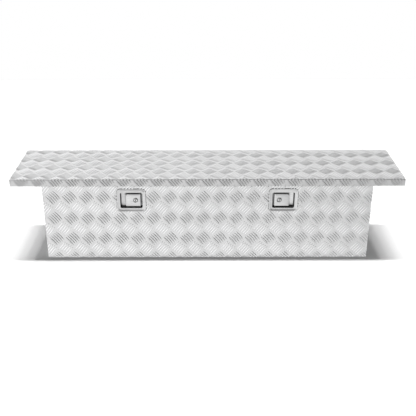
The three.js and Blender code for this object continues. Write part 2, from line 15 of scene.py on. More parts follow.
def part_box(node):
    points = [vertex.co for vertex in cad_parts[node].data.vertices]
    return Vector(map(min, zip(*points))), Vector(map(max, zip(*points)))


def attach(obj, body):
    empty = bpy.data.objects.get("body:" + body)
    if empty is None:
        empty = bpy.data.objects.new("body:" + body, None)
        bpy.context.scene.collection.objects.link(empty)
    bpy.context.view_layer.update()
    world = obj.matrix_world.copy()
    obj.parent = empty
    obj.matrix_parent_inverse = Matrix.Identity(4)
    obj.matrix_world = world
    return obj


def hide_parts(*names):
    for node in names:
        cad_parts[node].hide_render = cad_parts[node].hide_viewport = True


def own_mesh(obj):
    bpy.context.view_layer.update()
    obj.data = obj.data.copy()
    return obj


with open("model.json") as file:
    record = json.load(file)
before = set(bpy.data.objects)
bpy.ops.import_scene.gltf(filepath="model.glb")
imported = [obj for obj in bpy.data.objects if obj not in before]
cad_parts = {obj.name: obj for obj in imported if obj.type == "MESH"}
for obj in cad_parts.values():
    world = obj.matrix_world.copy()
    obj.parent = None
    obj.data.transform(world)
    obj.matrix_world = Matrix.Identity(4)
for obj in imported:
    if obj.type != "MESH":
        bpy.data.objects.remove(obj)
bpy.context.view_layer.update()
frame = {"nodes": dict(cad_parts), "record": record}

MM = 0.001
SIDES = {"left": -1, "right": 1}

# ---- Sizes that the frame's boxes don't give ----

SHEET = 2.0
HALF = SHEET / 2
BEND = 2.0  # bend radius at the middle of the sheet
BEND_RUN = BEND * math.pi / 2  # flat length of a right-angle bend
RIM_FLANGE = 16.0
LATCH_HOLE = (104.4, 78.4, 9.0)  # width, height and corner

# Five-bar tread: groups of parallel bars in two directions that take turns on a staggered lattice.
TUB_GROUP_PITCH = 76.0
LID_GROUP_PITCH = 76.8
GROUP_PITCH_ACROSS = 104.0
BARS_IN_GROUP = 5
BAR_PITCH = 11.0
BAR_HALF_LENGTH = 29.0
BAR_HALF_WIDTH = 3.9
BAR_HEIGHT = 2.2
LID_BAR_HEIGHT = 1.7
BAR_ANGLE = math.radians(51)
BAR_POINTED = 0.8  # exponent of a bar's outline
BAR_END = 0.12  # share of a bar's half-length over which its ridge comes down
BAR_END_POINTED = 0.6
BAR_STATIONS = (-1.0, -0.86, -0.5, 0.0, 0.5, 0.86, 1.0)
RIDGE_STATIONS = (-0.82, -0.4, 0.4, 0.82)
BAR_MARGIN = 45.0  # farther than any bar reaches from its group's middle
FLAT_RAMP = 1.5  # from full tread to the flat under a hinge leaf or the seal
SEAL_SEAT = RIM_FLANGE - BEND - 0.5
BEYOND = 5.0  # how far helping lines run past a pattern's border


def box_mm(node):
    low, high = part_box(node)
    return Vector(low) / MM, Vector(high) / MM


TUB_LOW, TUB_HIGH = box_mm("tub_shell")
LID_LOW, LID_HIGH = box_mm("lid_shell")
TUB_HALF = box_mm("tub_end_right")[0].x + SHEET
WING_HALF = TUB_HIGH.x
WING_UNDER = frame["record"]["mounts"][1]["pos_m"][2] / MM
TUB_FRONT, TUB_REAR, RIM_TOP = TUB_LOW.y, TUB_HIGH.y, TUB_HIGH.z
LIP_BOTTOM, LID_TOP = LID_LOW.z, LID_HIGH.z


# ---- Camera ----

CAMERA_PLACE = (-0.0293, -3.1264, 1.6277)  # metres
CAMERA_TILT = math.radians(25.03)  # below the horizon
CAMERA_ROLL = math.radians(0.127)
CAMERA_FOCAL = 61.4
CAMERA_SHIFT = 0.0169


def make_camera():
    data = bpy.data.cameras.new("camera")
    data.lens = CAMERA_FOCAL
    data.sensor_width = 36.0
    data.shift_x = CAMERA_SHIFT
    camera = bpy.data.objects.new("camera", data)
    camera.location = CAMERA_PLACE
    look = Matrix.Rotation(math.pi / 2 - CAMERA_TILT, 4, "X") @ Matrix.Rotation(-CAMERA_ROLL, 4, "Z")
    camera.rotation_euler = look.to_euler()
    bpy.context.collection.objects.link(camera)
    bpy.context.scene.camera = camera


make_camera()


# ---- Materials ----

LIP_PAINTED_SHADE = 0.75  # how far the lid's lip goes to its darker grey, a painted shade
FINE = 0.0002  # height of fine relief, in metres


def new_material(name, colour, metallic, roughness):
    material = bpy.data.materials.new(name)
    material.use_nodes = True
    shader = material.node_tree.nodes["Principled BSDF"]
    shader.inputs["Base Color"].default_value = (*colour, 1)
    shader.inputs["Metallic"].default_value = metallic
    shader.inputs["Roughness"].default_value = roughness
    return material, material.node_tree, shader


def noise(tree, scale, detail, stretch=(1, 1, 1)):
    """A noise texture in the piece's own coordinates, finer along the axes with a larger stretch."""
    place = tree.nodes.new("ShaderNodeTexCoord")
    mapping = tree.nodes.new("ShaderNodeMapping")
    mapping.inputs["Scale"].default_value = stretch
    texture = tree.nodes.new("ShaderNodeTexNoise")
    texture.inputs["Scale"].default_value = scale
    texture.inputs["Detail"].default_value = detail
    tree.links.new(place.outputs["Object"], mapping.inputs["Vector"])
    tree.links.new(mapping.outputs["Vector"], texture.inputs["Vector"])
    return texture.outputs["Fac"]


def spread(tree, value, low, high, start=0.3, end=0.7):
    """The value between start and end, spread over low to high."""
    remap = tree.nodes.new("ShaderNodeMapRange")
    for socket, number in (("From Min", start), ("From Max", end), ("To Min", low), ("To Max", high)):
        remap.inputs[socket].default_value = number
    tree.links.new(value, remap.inputs["Value"])
    return remap.outputs["Result"]


def mixed(tree, factor, first, second):
    """A colour that runs from first to second. Each is a colour or another mix's output."""
    mix = tree.nodes.new("ShaderNodeMix")
    mix.data_type = "RGBA"
    tree.links.new(factor, mix.inputs["Factor"])
    for socket, colour in (("A", first), ("B", second)):
        target = next(s for s in mix.inputs if s.name == socket and s.type == "RGBA")
        if isinstance(colour, tuple):
            target.default_value = (*colour, 1)
        else:
            tree.links.new(colour, target)
    return next(s for s in mix.outputs if s.type == "RGBA")


def product(tree, first, second):
    node = tree.nodes.new("ShaderNodeMath")
    node.operation = "MULTIPLY"
    tree.links.new(first, node.inputs[0])
    tree.links.new(second, node.inputs[1])
    return node.outputs["Value"]


def dress(tree, shader, base, rough, height, strength, distance=FINE):
    """Gives a shader its colour, its roughness and a fine relief."""
    relief = tree.nodes.new("ShaderNodeBump")
    relief.inputs["Strength"].default_value = strength
    relief.inputs["Distance"].default_value = distance
    tree.links.new(height, relief.inputs["Height"])
    tree.links.new(relief.outputs["Normal"], shader.inputs["Normal"])
    tree.links.new(base, shader.inputs["Base Color"])
    tree.links.new(rough, shader.inputs["Roughness"])


def grey(level):
    return (level, level * 1.002, level * 1.006)


def lip_painted_shade(tree):
    """How much of the lid lip's painted shade, a darker grey, a point takes: the full amount between the
    lip's bottom and the lid's top bend, and none elsewhere."""
    place = tree.nodes.new("ShaderNodeTexCoord")
    split = tree.nodes.new("ShaderNodeSeparateXYZ")
    tree.links.new(place.outputs["Object"], split.inputs["Vector"])
    above = spread(tree, split.outputs["Z"], 0, LIP_PAINTED_SHADE, (LIP_BOTTOM - 0.3) * MM, (LIP_BOTTOM - 0.1) * MM)
    below = spread(tree, split.outputs["Z"], 1, 0, (LID_TOP - 3.0) * MM, (LID_TOP - 1.0) * MM)
    return product(tree, above, below)


def tread_material():
    """Mill-finish aluminium with rolling grain and soft clouding. The tops of the bars are lighter, partly
    burnish and partly a painted highlight, and the lid's lip is darker, a painted shade.
    """
    material, tree, shader = new_material("tread_aluminium", grey(0.74), 1.0, 0.34)
    grain = noise(tree, 60.0, 4, (0.6, 9.0, 9.0))
    emboss = tree.nodes.new("ShaderNodeAttribute")
    emboss.attribute_name = "emboss"
    base = mixed(tree, spread(tree, noise(tree, 5.0, 3), 0, 1), grey(0.60), grey(0.67))
    base = mixed(tree, spread(tree, grain, 0, 0.35), base, grey(0.52))
    # Painted highlight, partly burnish: the bars go lighter towards their tops.
    base = mixed(tree, spread(tree, emboss.outputs["Fac"], 0, 1, 0.3, 1.0), base, grey(0.97))
    # Painted shade: the lid's lip goes darker.
    base = mixed(tree, lip_painted_shade(tree), base, grey(0.50))
    dress(tree, shader, base, spread(tree, grain, 0.285, 0.36), noise(tree, 900.0, 2), 0.12)
    return material


def grained(name, dark, light, rough, scale, stretch, pit=0.08, metallic=1.0):
    """A metal whose colour runs from dark to light and whose roughness follows the same grain."""
    material, tree, shader = new_material(name, grey(light), metallic, rough[0])
    grain = noise(tree, scale, 4, stretch)
    cloud = spread(tree, noise(tree, 18.0, 3), 0, 1)
    base = mixed(tree, cloud, grey(light), grey((dark + light) / 2))
    base = mixed(tree, spread(tree, grain, 0, 1), base, grey(dark))
    dress(tree, shader, base, spread(tree, grain, *rough), grain, pit)
    return material


def stainless_material():
    """Brushed along the latch's width."""
    return grained("stainless", 0.52, 0.70, (0.28, 0.36), 120.0, (0.5, 8.0, 8.0))


def painted_shade_dish_material():
    """Dull stainless darkened into painted shade, for the walls inside the pressings and the boss behind
    the paddle.
    """
    return grained("stainless_painted_shade", 0.10, 0.20, (0.38, 0.55), 160.0, (2.0, 2.0, 0.5))


def chrome_material():
    return grained("chrome", 0.66, 0.80, (0.06, 0.14), 300.0, (1.0, 1.0, 1.0), 0.03)


def rod_material():
    """Ground and plated, with fine rings round the rod."""
    return grained("polished_rod", 0.60, 0.74, (0.05, 0.12), 90.0, (0.5, 4.0, 12.0), 0.03)


def mill_material():
    """Dull sheet inside the box, oxidised enough to scatter light."""
    return grained("mill_aluminium", 0.68, 0.80, (0.42, 0.56), 55.0, (0.6, 9.0, 9.0), metallic=0.55)


def hinge_material():
    return grained("hinge_metal", 0.48, 0.64, (0.26, 0.40), 90.0, (0.5, 7.0, 7.0))


def zinc_material():
    """Zinc plate: cloudy crystals over a dull grey."""
    material, tree, shader = new_material("zinc_plate", grey(0.55), 1.0, 0.4)
    cells = tree.nodes.new("ShaderNodeTexVoronoi")
    cells.inputs["Scale"].default_value = 320.0
    place = tree.nodes.new("ShaderNodeTexCoord")
    tree.links.new(place.outputs["Object"], cells.inputs["Vector"])
    cloud = noise(tree, 45.0, 3)
    crystal = spread(tree, cells.outputs["Distance"], 0, 1, 0.1, 0.7)
    base = mixed(tree, crystal, (0.60, 0.62, 0.64), (0.44, 0.46, 0.47))
    base = mixed(tree, spread(tree, cloud, 0, 0.5), base, (0.62, 0.60, 0.52))
    dress(tree, shader, base, spread(tree, cloud, 0.32, 0.50), cells.outputs["Distance"], 0.10)
    return material


def coated(name, low, high, rough, scale, strength):
    """A dark coat, no metal, whose skin is pitted by a fine noise."""
    material, tree, shader = new_material(name, (low, low, low), 0.0, rough[0])
    skin = noise(tree, scale, 3)
    base = mixed(tree, spread(tree, noise(tree, 25.0, 3), 0, 1), (low,) * 3, (high,) * 3)
    dress(tree, shader, base, spread(tree, skin, *rough), skin, strength, 1.5 * FINE)
    return material


def rubber_material():
    return coated("rubber", 0.012, 0.030, (0.62, 0.85), 700.0, 0.35)


def black_material():
    return coated("black_paint", 0.010, 0.018, (0.24, 0.38), 420.0, 0.15)


# Near black: painted shade inside the keyway and the groove round the plug's face.
def painted_shade_keyway_material():
    return coated("keyway_painted_shade", 0.004, 0.010, (0.60, 0.80), 500.0, 0.10)


MATERIALS = {
    "tread": tread_material(),
    "stainless": stainless_material(),
    "dish": painted_shade_dish_material(),
    "chrome": chrome_material(),
    "rod": rod_material(),
    "mill": mill_material(),
    "hinge": hinge_material(),
    "zinc": zinc_material(),
    "rubber": rubber_material(),
    "black": black_material(),
    "keyway": painted_shade_keyway_material(),
}


# ---- Meshes ----

def new_mesh(name, points, faces, material_indices):
    mesh = bpy.data.meshes.new(name)
    mesh.from_pydata([tuple(c * MM for c in point) for point in points], [], faces)
    mesh.polygons.foreach_set("material_index", material_indices)
    return mesh


def new_piece(name, mesh, materials, body, replaces):
    """An object that rides on a body, takes a slot's finish and stands for CAD nodes."""
    for material in materials:
        mesh.materials.append(MATERIALS[material])
    piece = bpy.data.objects.new(name, mesh)
    bpy.context.collection.objects.link(piece)
    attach(piece, body)
    if replaces:
        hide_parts(*replaces)
    return piece


def weld(mesh):
    """Joins points that meet, turns all faces outwards, and makes edges sharper than 35 degrees crisp."""
    work = bmesh.new()
    work.from_mesh(mesh)
    bmesh.ops.remove_doubles(work, verts=work.verts, dist=2e-6)
    bmesh.ops.recalc_face_normals(work, faces=work.faces)
    for edge in work.edges:
        edge.smooth = edge.calc_face_angle(math.pi) < math.radians(35)
    for face in work.faces:
        face.smooth = True
    work.to_mesh(mesh)
    work.free()


def soften(piece, width):
    """Small round edges."""
    bevel = piece.modifiers.new("round_edges", "BEVEL")
    bevel.width = width * MM
    bevel.segments = 2
    bevel.limit_method = "ANGLE"
    bevel.angle_limit = math.radians(40)


def add_piece(name, parts, body, replaces=(), edge=0.0):
    """A piece made of (material, shape) parts. A shape is points in millimetres and faces."""
    points, faces = merged(*(shape for _, shape in parts))
    materials = list(dict.fromkeys(material for material, _ in parts))
    indices = []
    for material, (_, part_faces) in parts:
        indices += [materials.index(material)] * len(part_faces)
    mesh = new_mesh(name, points, faces, indices)
    weld(mesh)
    piece = new_piece(name, mesh, materials, body, replaces)
    if edge:
        soften(piece, edge)
    return piece


def add_pair(name, parts, body, nodes, edge=0.0):
    """A right-hand piece and its mirror image. The tub and the lid carry both sides' pieces."""
    made = {}
    for side_name, side in SIDES.items():
        sided = []
        for material, (points, faces) in parts:
            sided.append((material, ([(side * x, y, z) for x, y, z in points], faces)))
        rider = body if body in ("tub", "lid") else f"{body}_{side_name}"
        replaced = [f"{node}_{side_name}" for node in nodes]
        made[side_name] = add_piece(f"{name}_{side_name}", sided, rider, replaced, edge)
    return made


def finish_node(node, material, edge=0.0):
    """A CAD node shown as it is, with a detailed material and small round edges."""
    piece = frame["nodes"][node]
    piece.data.materials.clear()
    piece.data.materials.append(MATERIALS[material])
    if edge:
        soften(piece, edge)


# ---- Shapes: points in millimetres and faces ----

def merged(*shapes):
    points, faces = [], []
    for shape_points, shape_faces in shapes:
        base = len(points)
        points += shape_points
        faces += [[base + v for v in face] for face in shape_faces]
    return points, faces


def loft(rings, closed=False, capped=True):
    """Faces between rings with the same number of points. A closed loft joins the last to the first."""
    count = len(rings[0])
    spans = list(zip(range(len(rings)), range(1, len(rings))))
    if closed:
        spans.append((len(rings) - 1, 0))
    faces = []
    for a, b in spans:
        for i in range(count):
            j = (i + 1) % count
            faces.append([a * count + i, a * count + j, b * count + j, b * count + i])
    if capped and not closed:
        faces.append(list(range(count)))
        faces.append([(len(rings) - 1) * count + i for i in range(count)])
    return [point for ring in rings for point in ring], faces


def sleeve(rings):
    """A loft that is open at both ends."""
    return loft(rings, capped=False)


def cap(ring):
    return ring, [list(range(len(ring)))]


def arc_points(radius, segments):
    angles = [2 * math.pi * i / segments for i in range(segments)]
    return [(radius * math.cos(angle), radius * math.sin(angle)) for angle in angles]


def turned(profile, place, segments=32, closed=False):
    """A round piece. The profile holds (radius, height) points, and place puts (a, b, height) in space."""
    return loft([[place(a, b, h) for a, b in arc_points(r, segments)] for r, h in profile], closed)


def circle(radius, centre=(0, 0), segments=32):
    return [Vector((centre[0] + a, centre[1] + b)) for a, b in arc_points(radius, segments)]


def at(outline, height, place):
    return [place(p[0], p[1], height) for p in outline]


def pierced(outline, holes, height, place):
    """A flat face with holes."""
    loops = [outline, *holes]
    flat = [Vector((p[0], p[1])) for loop in loops for p in loop]
    edges = []
    for loop in loops:
        first = len(edges)
        edges += [(first + i, first + (i + 1) % len(loop)) for i in range(len(loop))]
    made = delaunay_2d_cdt(flat, edges, [], 0, 1e-5, True)
    triangles = [tri for tri in made[2] if in_pattern(made[0], tri, outline, holes)]
    return at(flat, height, place), [[made[3][v][0] for v in tri] for tri in triangles]


def rounded_rectangle(width, height, radius, steps=5):
    """Corner points of a rounded rectangle about the origin, anticlockwise."""
    points = []
    for quarter, (sx, sy) in enumerate(((1, 1), (-1, 1), (-1, -1), (1, -1))):
        centre = Vector((sx * (width / 2 - radius), sy * (height / 2 - radius)))
        for step in range(steps + 1):
            angle = (quarter + step / steps) * math.pi / 2
            points.append(centre + Vector((math.cos(angle), math.sin(angle))) * radius)
    return points


def rounded_corners(corners, radii, steps=4):
    """A loop with an arc at each corner, whichever way the corner turns."""
    loop = []
    for i, corner in enumerate(corners):
        here = Vector(corner)
        before = (Vector(corners[i - 1]) - here).normalized()
        after = (Vector(corners[(i + 1) % len(corners)]) - here).normalized()
        half = before.angle(after) / 2
        run = radii[i] / math.tan(half)
        centre = here + (before + after).normalized() * radii[i] / math.sin(half)
        start = here + before * run - centre
        end = here + after * run - centre
        first = math.atan2(start.y, start.x)
        turn = (math.atan2(end.y, end.x) - first + math.pi) % (2 * math.pi) - math.pi
        for step in range(steps + 1):
            angle = first + turn * step / steps
            loop.append(centre + Vector((math.cos(angle), math.sin(angle))) * radii[i])
    return loop


def grid_sheet(outer, inner, rows, keep):
    """A sheet with two sides over a grid. outer and inner are the sides' section points, rows the places
    along the sheet, and keep(i, j) tells whether there is sheet between rows i and i + 1 and section
    points j and j + 1."""
    points, faces, number = [], [], {}

    def corner(side, i, j):
        key = (side is outer, i, j)
        if key not in number:
            number[key] = len(points)
            points.append((rows[i], side[j][0], side[j][1]))
        return number[key]

    def exists(i, j):
        return 0 <= i < len(rows) - 1 and 0 <= j < len(outer) - 1 and keep(i, j)

    for i in range(len(rows) - 1):
        for j in range(len(outer) - 1):
            if not exists(i, j):
                continue
            ring = [(i, j), (i + 1, j), (i + 1, j + 1), (i, j + 1)]
            faces.append([corner(outer, *c) for c in ring])
            faces.append([corner(inner, *c) for c in reversed(ring)])
            neighbours = ((i, j - 1), (i + 1, j), (i, j + 1), (i - 1, j))
            for a, b, neighbour in zip(ring, ring[1:] + ring[:1], neighbours):
                if not exists(*neighbour):
                    sides = ((outer, b), (outer, a), (inner, a), (inner, b))
                    faces.append([corner(side, *c) for side, c in sides])
    return points, faces


def strip(fold, stations, thickness, put):
    """A folded strip. stations are (t, half-width) pairs, and put(first, second, w) makes a point."""
    rings = []
    half = thickness / 2
    for t, width in stations:
        ring = []
        for w, h in ((-width, -half), (width, -half), (width, half), (-width, half)):
            first, second = fold.place([t], [h])
            ring.append(put(first[0], second[0], w))
        rings.append(ring)
    return loft(rings)


def rounded_plate(width, height, radius, low, high, place, edge=0.5):
    """A plate with rounded corners and soft rims, from low to high."""
    rings = []
    for inset, level in ((edge, low), (0, low + edge), (0, high - edge), (edge, high)):
        outline = rounded_rectangle(width - 2 * inset, height - 2 * inset, radius - inset)
        rings.append(at(outline, level, place))
    return loft(rings)


# ---- Tread pattern ----

def lens(u):
    """Half-width of a bar, as a share of its widest, at u from -1 to 1 along it."""
    return np.clip(1 - u * u, 0, 1) ** BAR_POINTED


def bar_families(origin, lean, pitch):
    """(start, along, across) of the groups that lean like the one at origin, and of those between them.
    lean is 1 where the first rise with s and t together, and -1 where they fall."""
    for turn, shift in ((lean, 0.0), (-lean, 0.5)):
        along = (math.cos(BAR_ANGLE), turn * math.sin(BAR_ANGLE))
        start = (origin[0] + shift * pitch, origin[1] + shift * GROUP_PITCH_ACROSS)
        yield start, along, (-along[1], along[0])


def emboss_height(s, t, origin, lean, pitch):
    """Height of the tread above the sheet at flat-pattern points, as a share of a bar's height."""
    height = np.zeros_like(s)
    reach = BARS_IN_GROUP // 2
    for start, along, across in bar_families(origin, lean, pitch):
        ds = s - start[0]
        dt = t - start[1]
        ds = ds - np.round(ds / pitch) * pitch
        dt = dt - np.round(dt / GROUP_PITCH_ACROSS) * GROUP_PITCH_ACROSS
        a = (ds * along[0] + dt * along[1]) / BAR_HALF_LENGTH
        b = ds * across[0] + dt * across[1]
        b = b - np.clip(np.round(b / BAR_PITCH), -reach, reach) * BAR_PITCH
        width = BAR_HALF_WIDTH * lens(a)
        share = np.where(width > 1e-6, np.abs(b) / np.maximum(width, 1e-6), 1.0)
        ridge = np.clip((1 - np.abs(a)) / BAR_END, 0, 1) ** BAR_END_POINTED
        dome = np.clip(1 - share ** 2, 0, 1) * ridge
        height = np.maximum(height, np.where(np.abs(a) < 1, dome, 0))
    return height


def tread_bars(outline, origin, lean, pitch):
    """(centre, along, across) of every bar that may touch a flat pattern."""
    bars = []
    steps = (pitch, GROUP_PITCH_ACROSS)
    for start, along, across in bar_families(origin, lean, pitch):
        along, across = Vector(along), Vector(across)
        counts = []
        for i, step in enumerate(steps):
            places = [p[i] for p in outline]
            first = math.floor((min(places) - BAR_MARGIN - start[i]) / step)
            counts.append(range(first, math.ceil((max(places) + BAR_MARGIN - start[i]) / step) + 1))
        for column in counts[0]:
            for row in counts[1]:
                middle = Vector((start[0] + column * steps[0], start[1] + row * steps[1]))
                for i in range(BARS_IN_GROUP):
                    bars.append((middle + across * (i - BARS_IN_GROUP // 2) * BAR_PITCH, along, across))
    return bars


def bar_ring(centre, along, across, share):
    """A bar's outline, drawn in to a share of its width."""
    stretch = 0.9 + 0.1 * share if share < 1 else 1.0
    stations = [u * stretch for u in BAR_STATIONS]
    sides = [(u, lens(u) * share) for u in stations]
    ring = sides + [(u, -w) for u, w in reversed(sides[1:-1])]
    return [centre + along * u * BAR_HALF_LENGTH + across * w * BAR_HALF_WIDTH for u, w in ring]


# ---- Folded sheets ----

class Fold:
    """A strip folded along a path through the middle of the sheet, in a plane. Its flat pattern's
    coordinate t runs along the path, and out is 1 where the outer face is on the path's left."""

    def __init__(self, corners, out, steps=5):
        self.out = out
        self.pieces = []
        self.bend_lines = []
        points = [Vector(corner) for corner in corners]
        t = 0.0
        here = points[0]
        for i, corner in enumerate(points[1:], 1):
            ahead = (corner - points[i - 1]).normalized()
            heading = math.atan2(ahead.y, ahead.x)
            self.pieces.append((t, here, heading, 0.0))
            if i == len(points) - 1:
                t += (corner - here).length
                break
            after = (points[i + 1] - corner).normalized()
            turn = math.atan2(ahead.cross(after), ahead.dot(after))
            tangent = BEND * math.tan(abs(turn) / 2)
            arc_start = corner - ahead * tangent
            t += (arc_start - here).length
            centre = arc_start + Vector((-ahead.y, ahead.x)) * math.copysign(BEND, turn)
            length = BEND * abs(turn)
            self.pieces.append((t, centre, heading, turn / length))
            self.bend_lines += [t + length * k / steps for k in range(steps + 1)]
            t += length
            here = corner + after * tangent
        self.length = t

    def place(self, t, height):
        """Two coordinates of points at t along the strip and a height above its middle."""
        t = np.asarray(t, float)
        height = np.asarray(height, float)
        first = np.zeros_like(t)
        second = np.zeros_like(t)
        starts = [piece[0] for piece in self.pieces]
        index = np.clip(np.searchsorted(starts, t + 1e-7, "right") - 1, 0, len(starts) - 1)
        for i, (start, anchor, heading, rate) in enumerate(self.pieces):
            here = index == i
            run = t[here] - start
            angle = heading + rate * run
            normal = np.stack((-np.sin(angle), np.cos(angle))) * self.out
            if rate:
                arm = math.copysign(BEND, rate)
                middle = np.stack((anchor.x + np.sin(angle) * arm, anchor.y - np.cos(angle) * arm))
            else:
                middle = np.stack((anchor.x + np.cos(angle) * run, anchor.y + np.sin(angle) * run))
            first[here], second[here] = middle + normal * height[here]
        return first, second

    def sides(self, thickness):
        """Section points of a strip's outer and inner faces, at its ends and along its bends."""
        stations = sorted({0.0, self.length, *self.bend_lines})
        heights = (thickness / 2, -thickness / 2)
        return [list(zip(*self.place(stations, [height] * len(stations)))) for height in heights]


def grown(rectangle, by):
    low_s, low_t, high_s, high_t = rectangle
    return low_s - by, low_t - by, high_s + by, high_t + by


def tread_face(outline, holes, lines, tread, flats):
    """Points, triangles and sharp edges of the outer face's flat pattern. A bar's foot is sharp."""
    points, edges, feet = [], [], set()

    def add_loop(loop):
        first = len(points)
        points.extend(Vector((p[0], p[1])) for p in loop)
        return list(range(first, len(points)))

    def add_ring(loop):
        ring = add_loop(loop)
        edges.extend(zip(ring, ring[1:] + ring[:1]))

    loops = [add_loop(loop) for loop in (outline, *holes)]
    for line in lines:
        edges.append(tuple(add_loop(line)))
    for flat in flats:
        for grow in (0.0, FLAT_RAMP):
            low_s, low_t, high_s, high_t = grown(flat, grow)
            add_ring([(low_s, low_t), (high_s, low_t), (high_s, high_t), (low_s, high_t)])
    for centre, along, across in tread_bars(outline, *tread):
        first = len(edges)
        add_ring(bar_ring(centre, along, across, 1.0))
        feet.update(range(first, len(edges)))
        add_ring(bar_ring(centre, along, across, 0.5))
        ridge = add_loop([centre + along * u * BAR_HALF_LENGTH for u in RIDGE_STATIONS])
        edges.extend(zip(ridge, ridge[1:]))
    made = delaunay_2d_cdt(points, edges, loops, 1, 1e-4, True)
    triangles = [list(t) for t, source in zip(made[2], made[5]) if source and not any(source)]
    sharp = {tuple(sorted(edge)) for edge, source in zip(made[1], made[4]) if feet.intersection(source)}
    return made[0], triangles, sharp


def border_edges(triangles):
    edges = dict.fromkeys(edge for a, b, c in triangles for edge in ((a, b), (b, c), (c, a)))
    return [edge for edge in edges if (edge[1], edge[0]) not in edges]


def plain_face(flat, rim, lines, outline, holes):
    """Points and triangles of the smooth inner face's pattern, which keeps the outer face's border
    points so that the edges close, and each border point's number among them."""
    order = sorted({v for edge in rim for v in edge})
    number = {v: i for i, v in enumerate(order)}
    points = [flat[v] for v in order]
    edges = [(number[a], number[b]) for a, b in rim]
    for line in lines:
        edges.append((len(points), len(points) + 1))
        points += [Vector((p[0], p[1])) for p in line]
    made = delaunay_2d_cdt(points, edges, [], 0, 1e-3, True)
    triangles = [tri for tri in made[2] if in_pattern(made[0], tri, outline, holes)]
    became = {old: new for new, source in enumerate(made[3]) for old in source}
    return made[0], triangles, {v: became[number[v]] for v in order}


def tread_sheet(outline, holes, lines, place, tread, flats, bar_height=BAR_HEIGHT):
    """Points, faces, sharp edges, tread levels and the number of outer faces of a folded sheet.

    outline and holes are loops in the flat pattern, lines are bend lines as pairs of its points, and
    place(s, t, height) puts points of the pattern in space, height above the sheet's middle. flats are
    (low s, low t, high s, high t) rectangles where the tread is pressed flat under another part."""
    flat, outer, sharp = tread_face(outline, holes, lines, tread, flats)
    s, t = np.array([tuple(p) for p in flat]).T
    emboss = emboss_height(s, t, *tread)
    for rectangle in flats:
        low_s, low_t, high_s, high_t = grown(rectangle, 0.01)
        emboss[(s > low_s) & (s < high_s) & (t > low_t) & (t < high_t)] = 0
    rim = border_edges(outer)
    back_flat, inner, partner = plain_face(flat, rim, lines, outline, holes)
    back_s, back_t = np.array([tuple(p) for p in back_flat]).T
    front = place(s, t, HALF + emboss * bar_height)
    back = place(back_s, back_t, np.full_like(back_s, -HALF))
    base = len(flat)
    faces = outer + [[base + v for v in reversed(tri)] for tri in inner]
    for a, b in rim:
        a_back, b_back = base + partner[a], base + partner[b]
        faces.append([b, a, a_back, b_back])
        sharp |= {tuple(sorted((a, b))), tuple(sorted((a_back, b_back)))}
    points = [tuple(p) for p in np.vstack((front, back))]
    level = list(emboss) + [0.0] * len(back_flat)
    return *drop_loose(points, faces, sharp, level), len(outer)


def in_pattern(points, triangle, outline, holes):
    middle = sum((points[v] for v in triangle), Vector((0, 0))) / 3
    return inside_loop(middle, outline) and not any(inside_loop(middle, hole) for hole in holes)


def inside_loop(point, loop):
    inside = False
    for (ax, ay), (bx, by) in zip(loop, list(loop[1:]) + [loop[0]]):
        if (ay > point.y) != (by > point.y) and point.x < (bx - ax) * (point.y - ay) / (by - ay) + ax:
            inside = not inside
    return inside


def drop_loose(points, faces, sharp, level):
    """The same mesh without the points that no face uses."""
    used = sorted({v for face in faces for v in face})
    number = {v: i for i, v in enumerate(used)}
    faces = [[number[v] for v in face] for face in faces]
    edges = {(number[a], number[b]) for a, b in sharp if a in number and b in number}
    return [points[v] for v in used], faces, edges, [level[v] for v in used]


def add_tread_sheet(name, sheet, body, node, flipped=False):
    """Tread outside and plain mill finish inside."""
    points, faces, sharp, level, outer_faces = sheet
    if flipped:
        faces = [list(reversed(face)) for face in faces]
    mesh = new_mesh(name, points, faces, [int(i >= outer_faces) for i in range(len(faces))])
    mesh.polygons.foreach_set("use_smooth", [True] * len(faces))
    flags = [tuple(sorted(edge.vertices)) in sharp for edge in mesh.edges]
    mesh.attributes.new("sharp_edge", "BOOLEAN", "EDGE").data.foreach_set("value", flags)
    mesh.attributes.new("emboss", "FLOAT", "POINT").data.foreach_set("value", level)
    return new_piece(name, mesh, ["tread", "mill"], body, [node])


# ---- Tub and lid ----

FIRST_GROUP_IN = 46.0  # from the tub's left end to the middle of the first falling group
FIRST_GROUP_DOWN = 77.0  # from the rim's top to the same
LID_GROUP_IN = 49.0  # from the lid's left fold to the middle of the first falling group
LID_GROUP_DOWN = 9.0  # from the lid's front fold to the same
END_GROUP_IN = 40.0  # from an end panel's front edge to the middle of a group
END_GROUP_UP = 60.0  # from its foot to the same
CORNER_GAP = 0.3  # between an end panel's rim and the front's and rear's
NOTCH_GAP = 1.5  # how far below the rim's bend an end panel's notch starts
LEAF_MARGIN = 1.0  # the flat under a hinge leaf reaches this far past it
HAT_SHEET = 1.5
HAT_CROWN, HAT_ROOT = 19.0, 24.0  # half-widths of the lid's hat channel
WELD_RADIUS = 1.3
GROUND_RADIUS = 2.7  # of the lid's welded corners


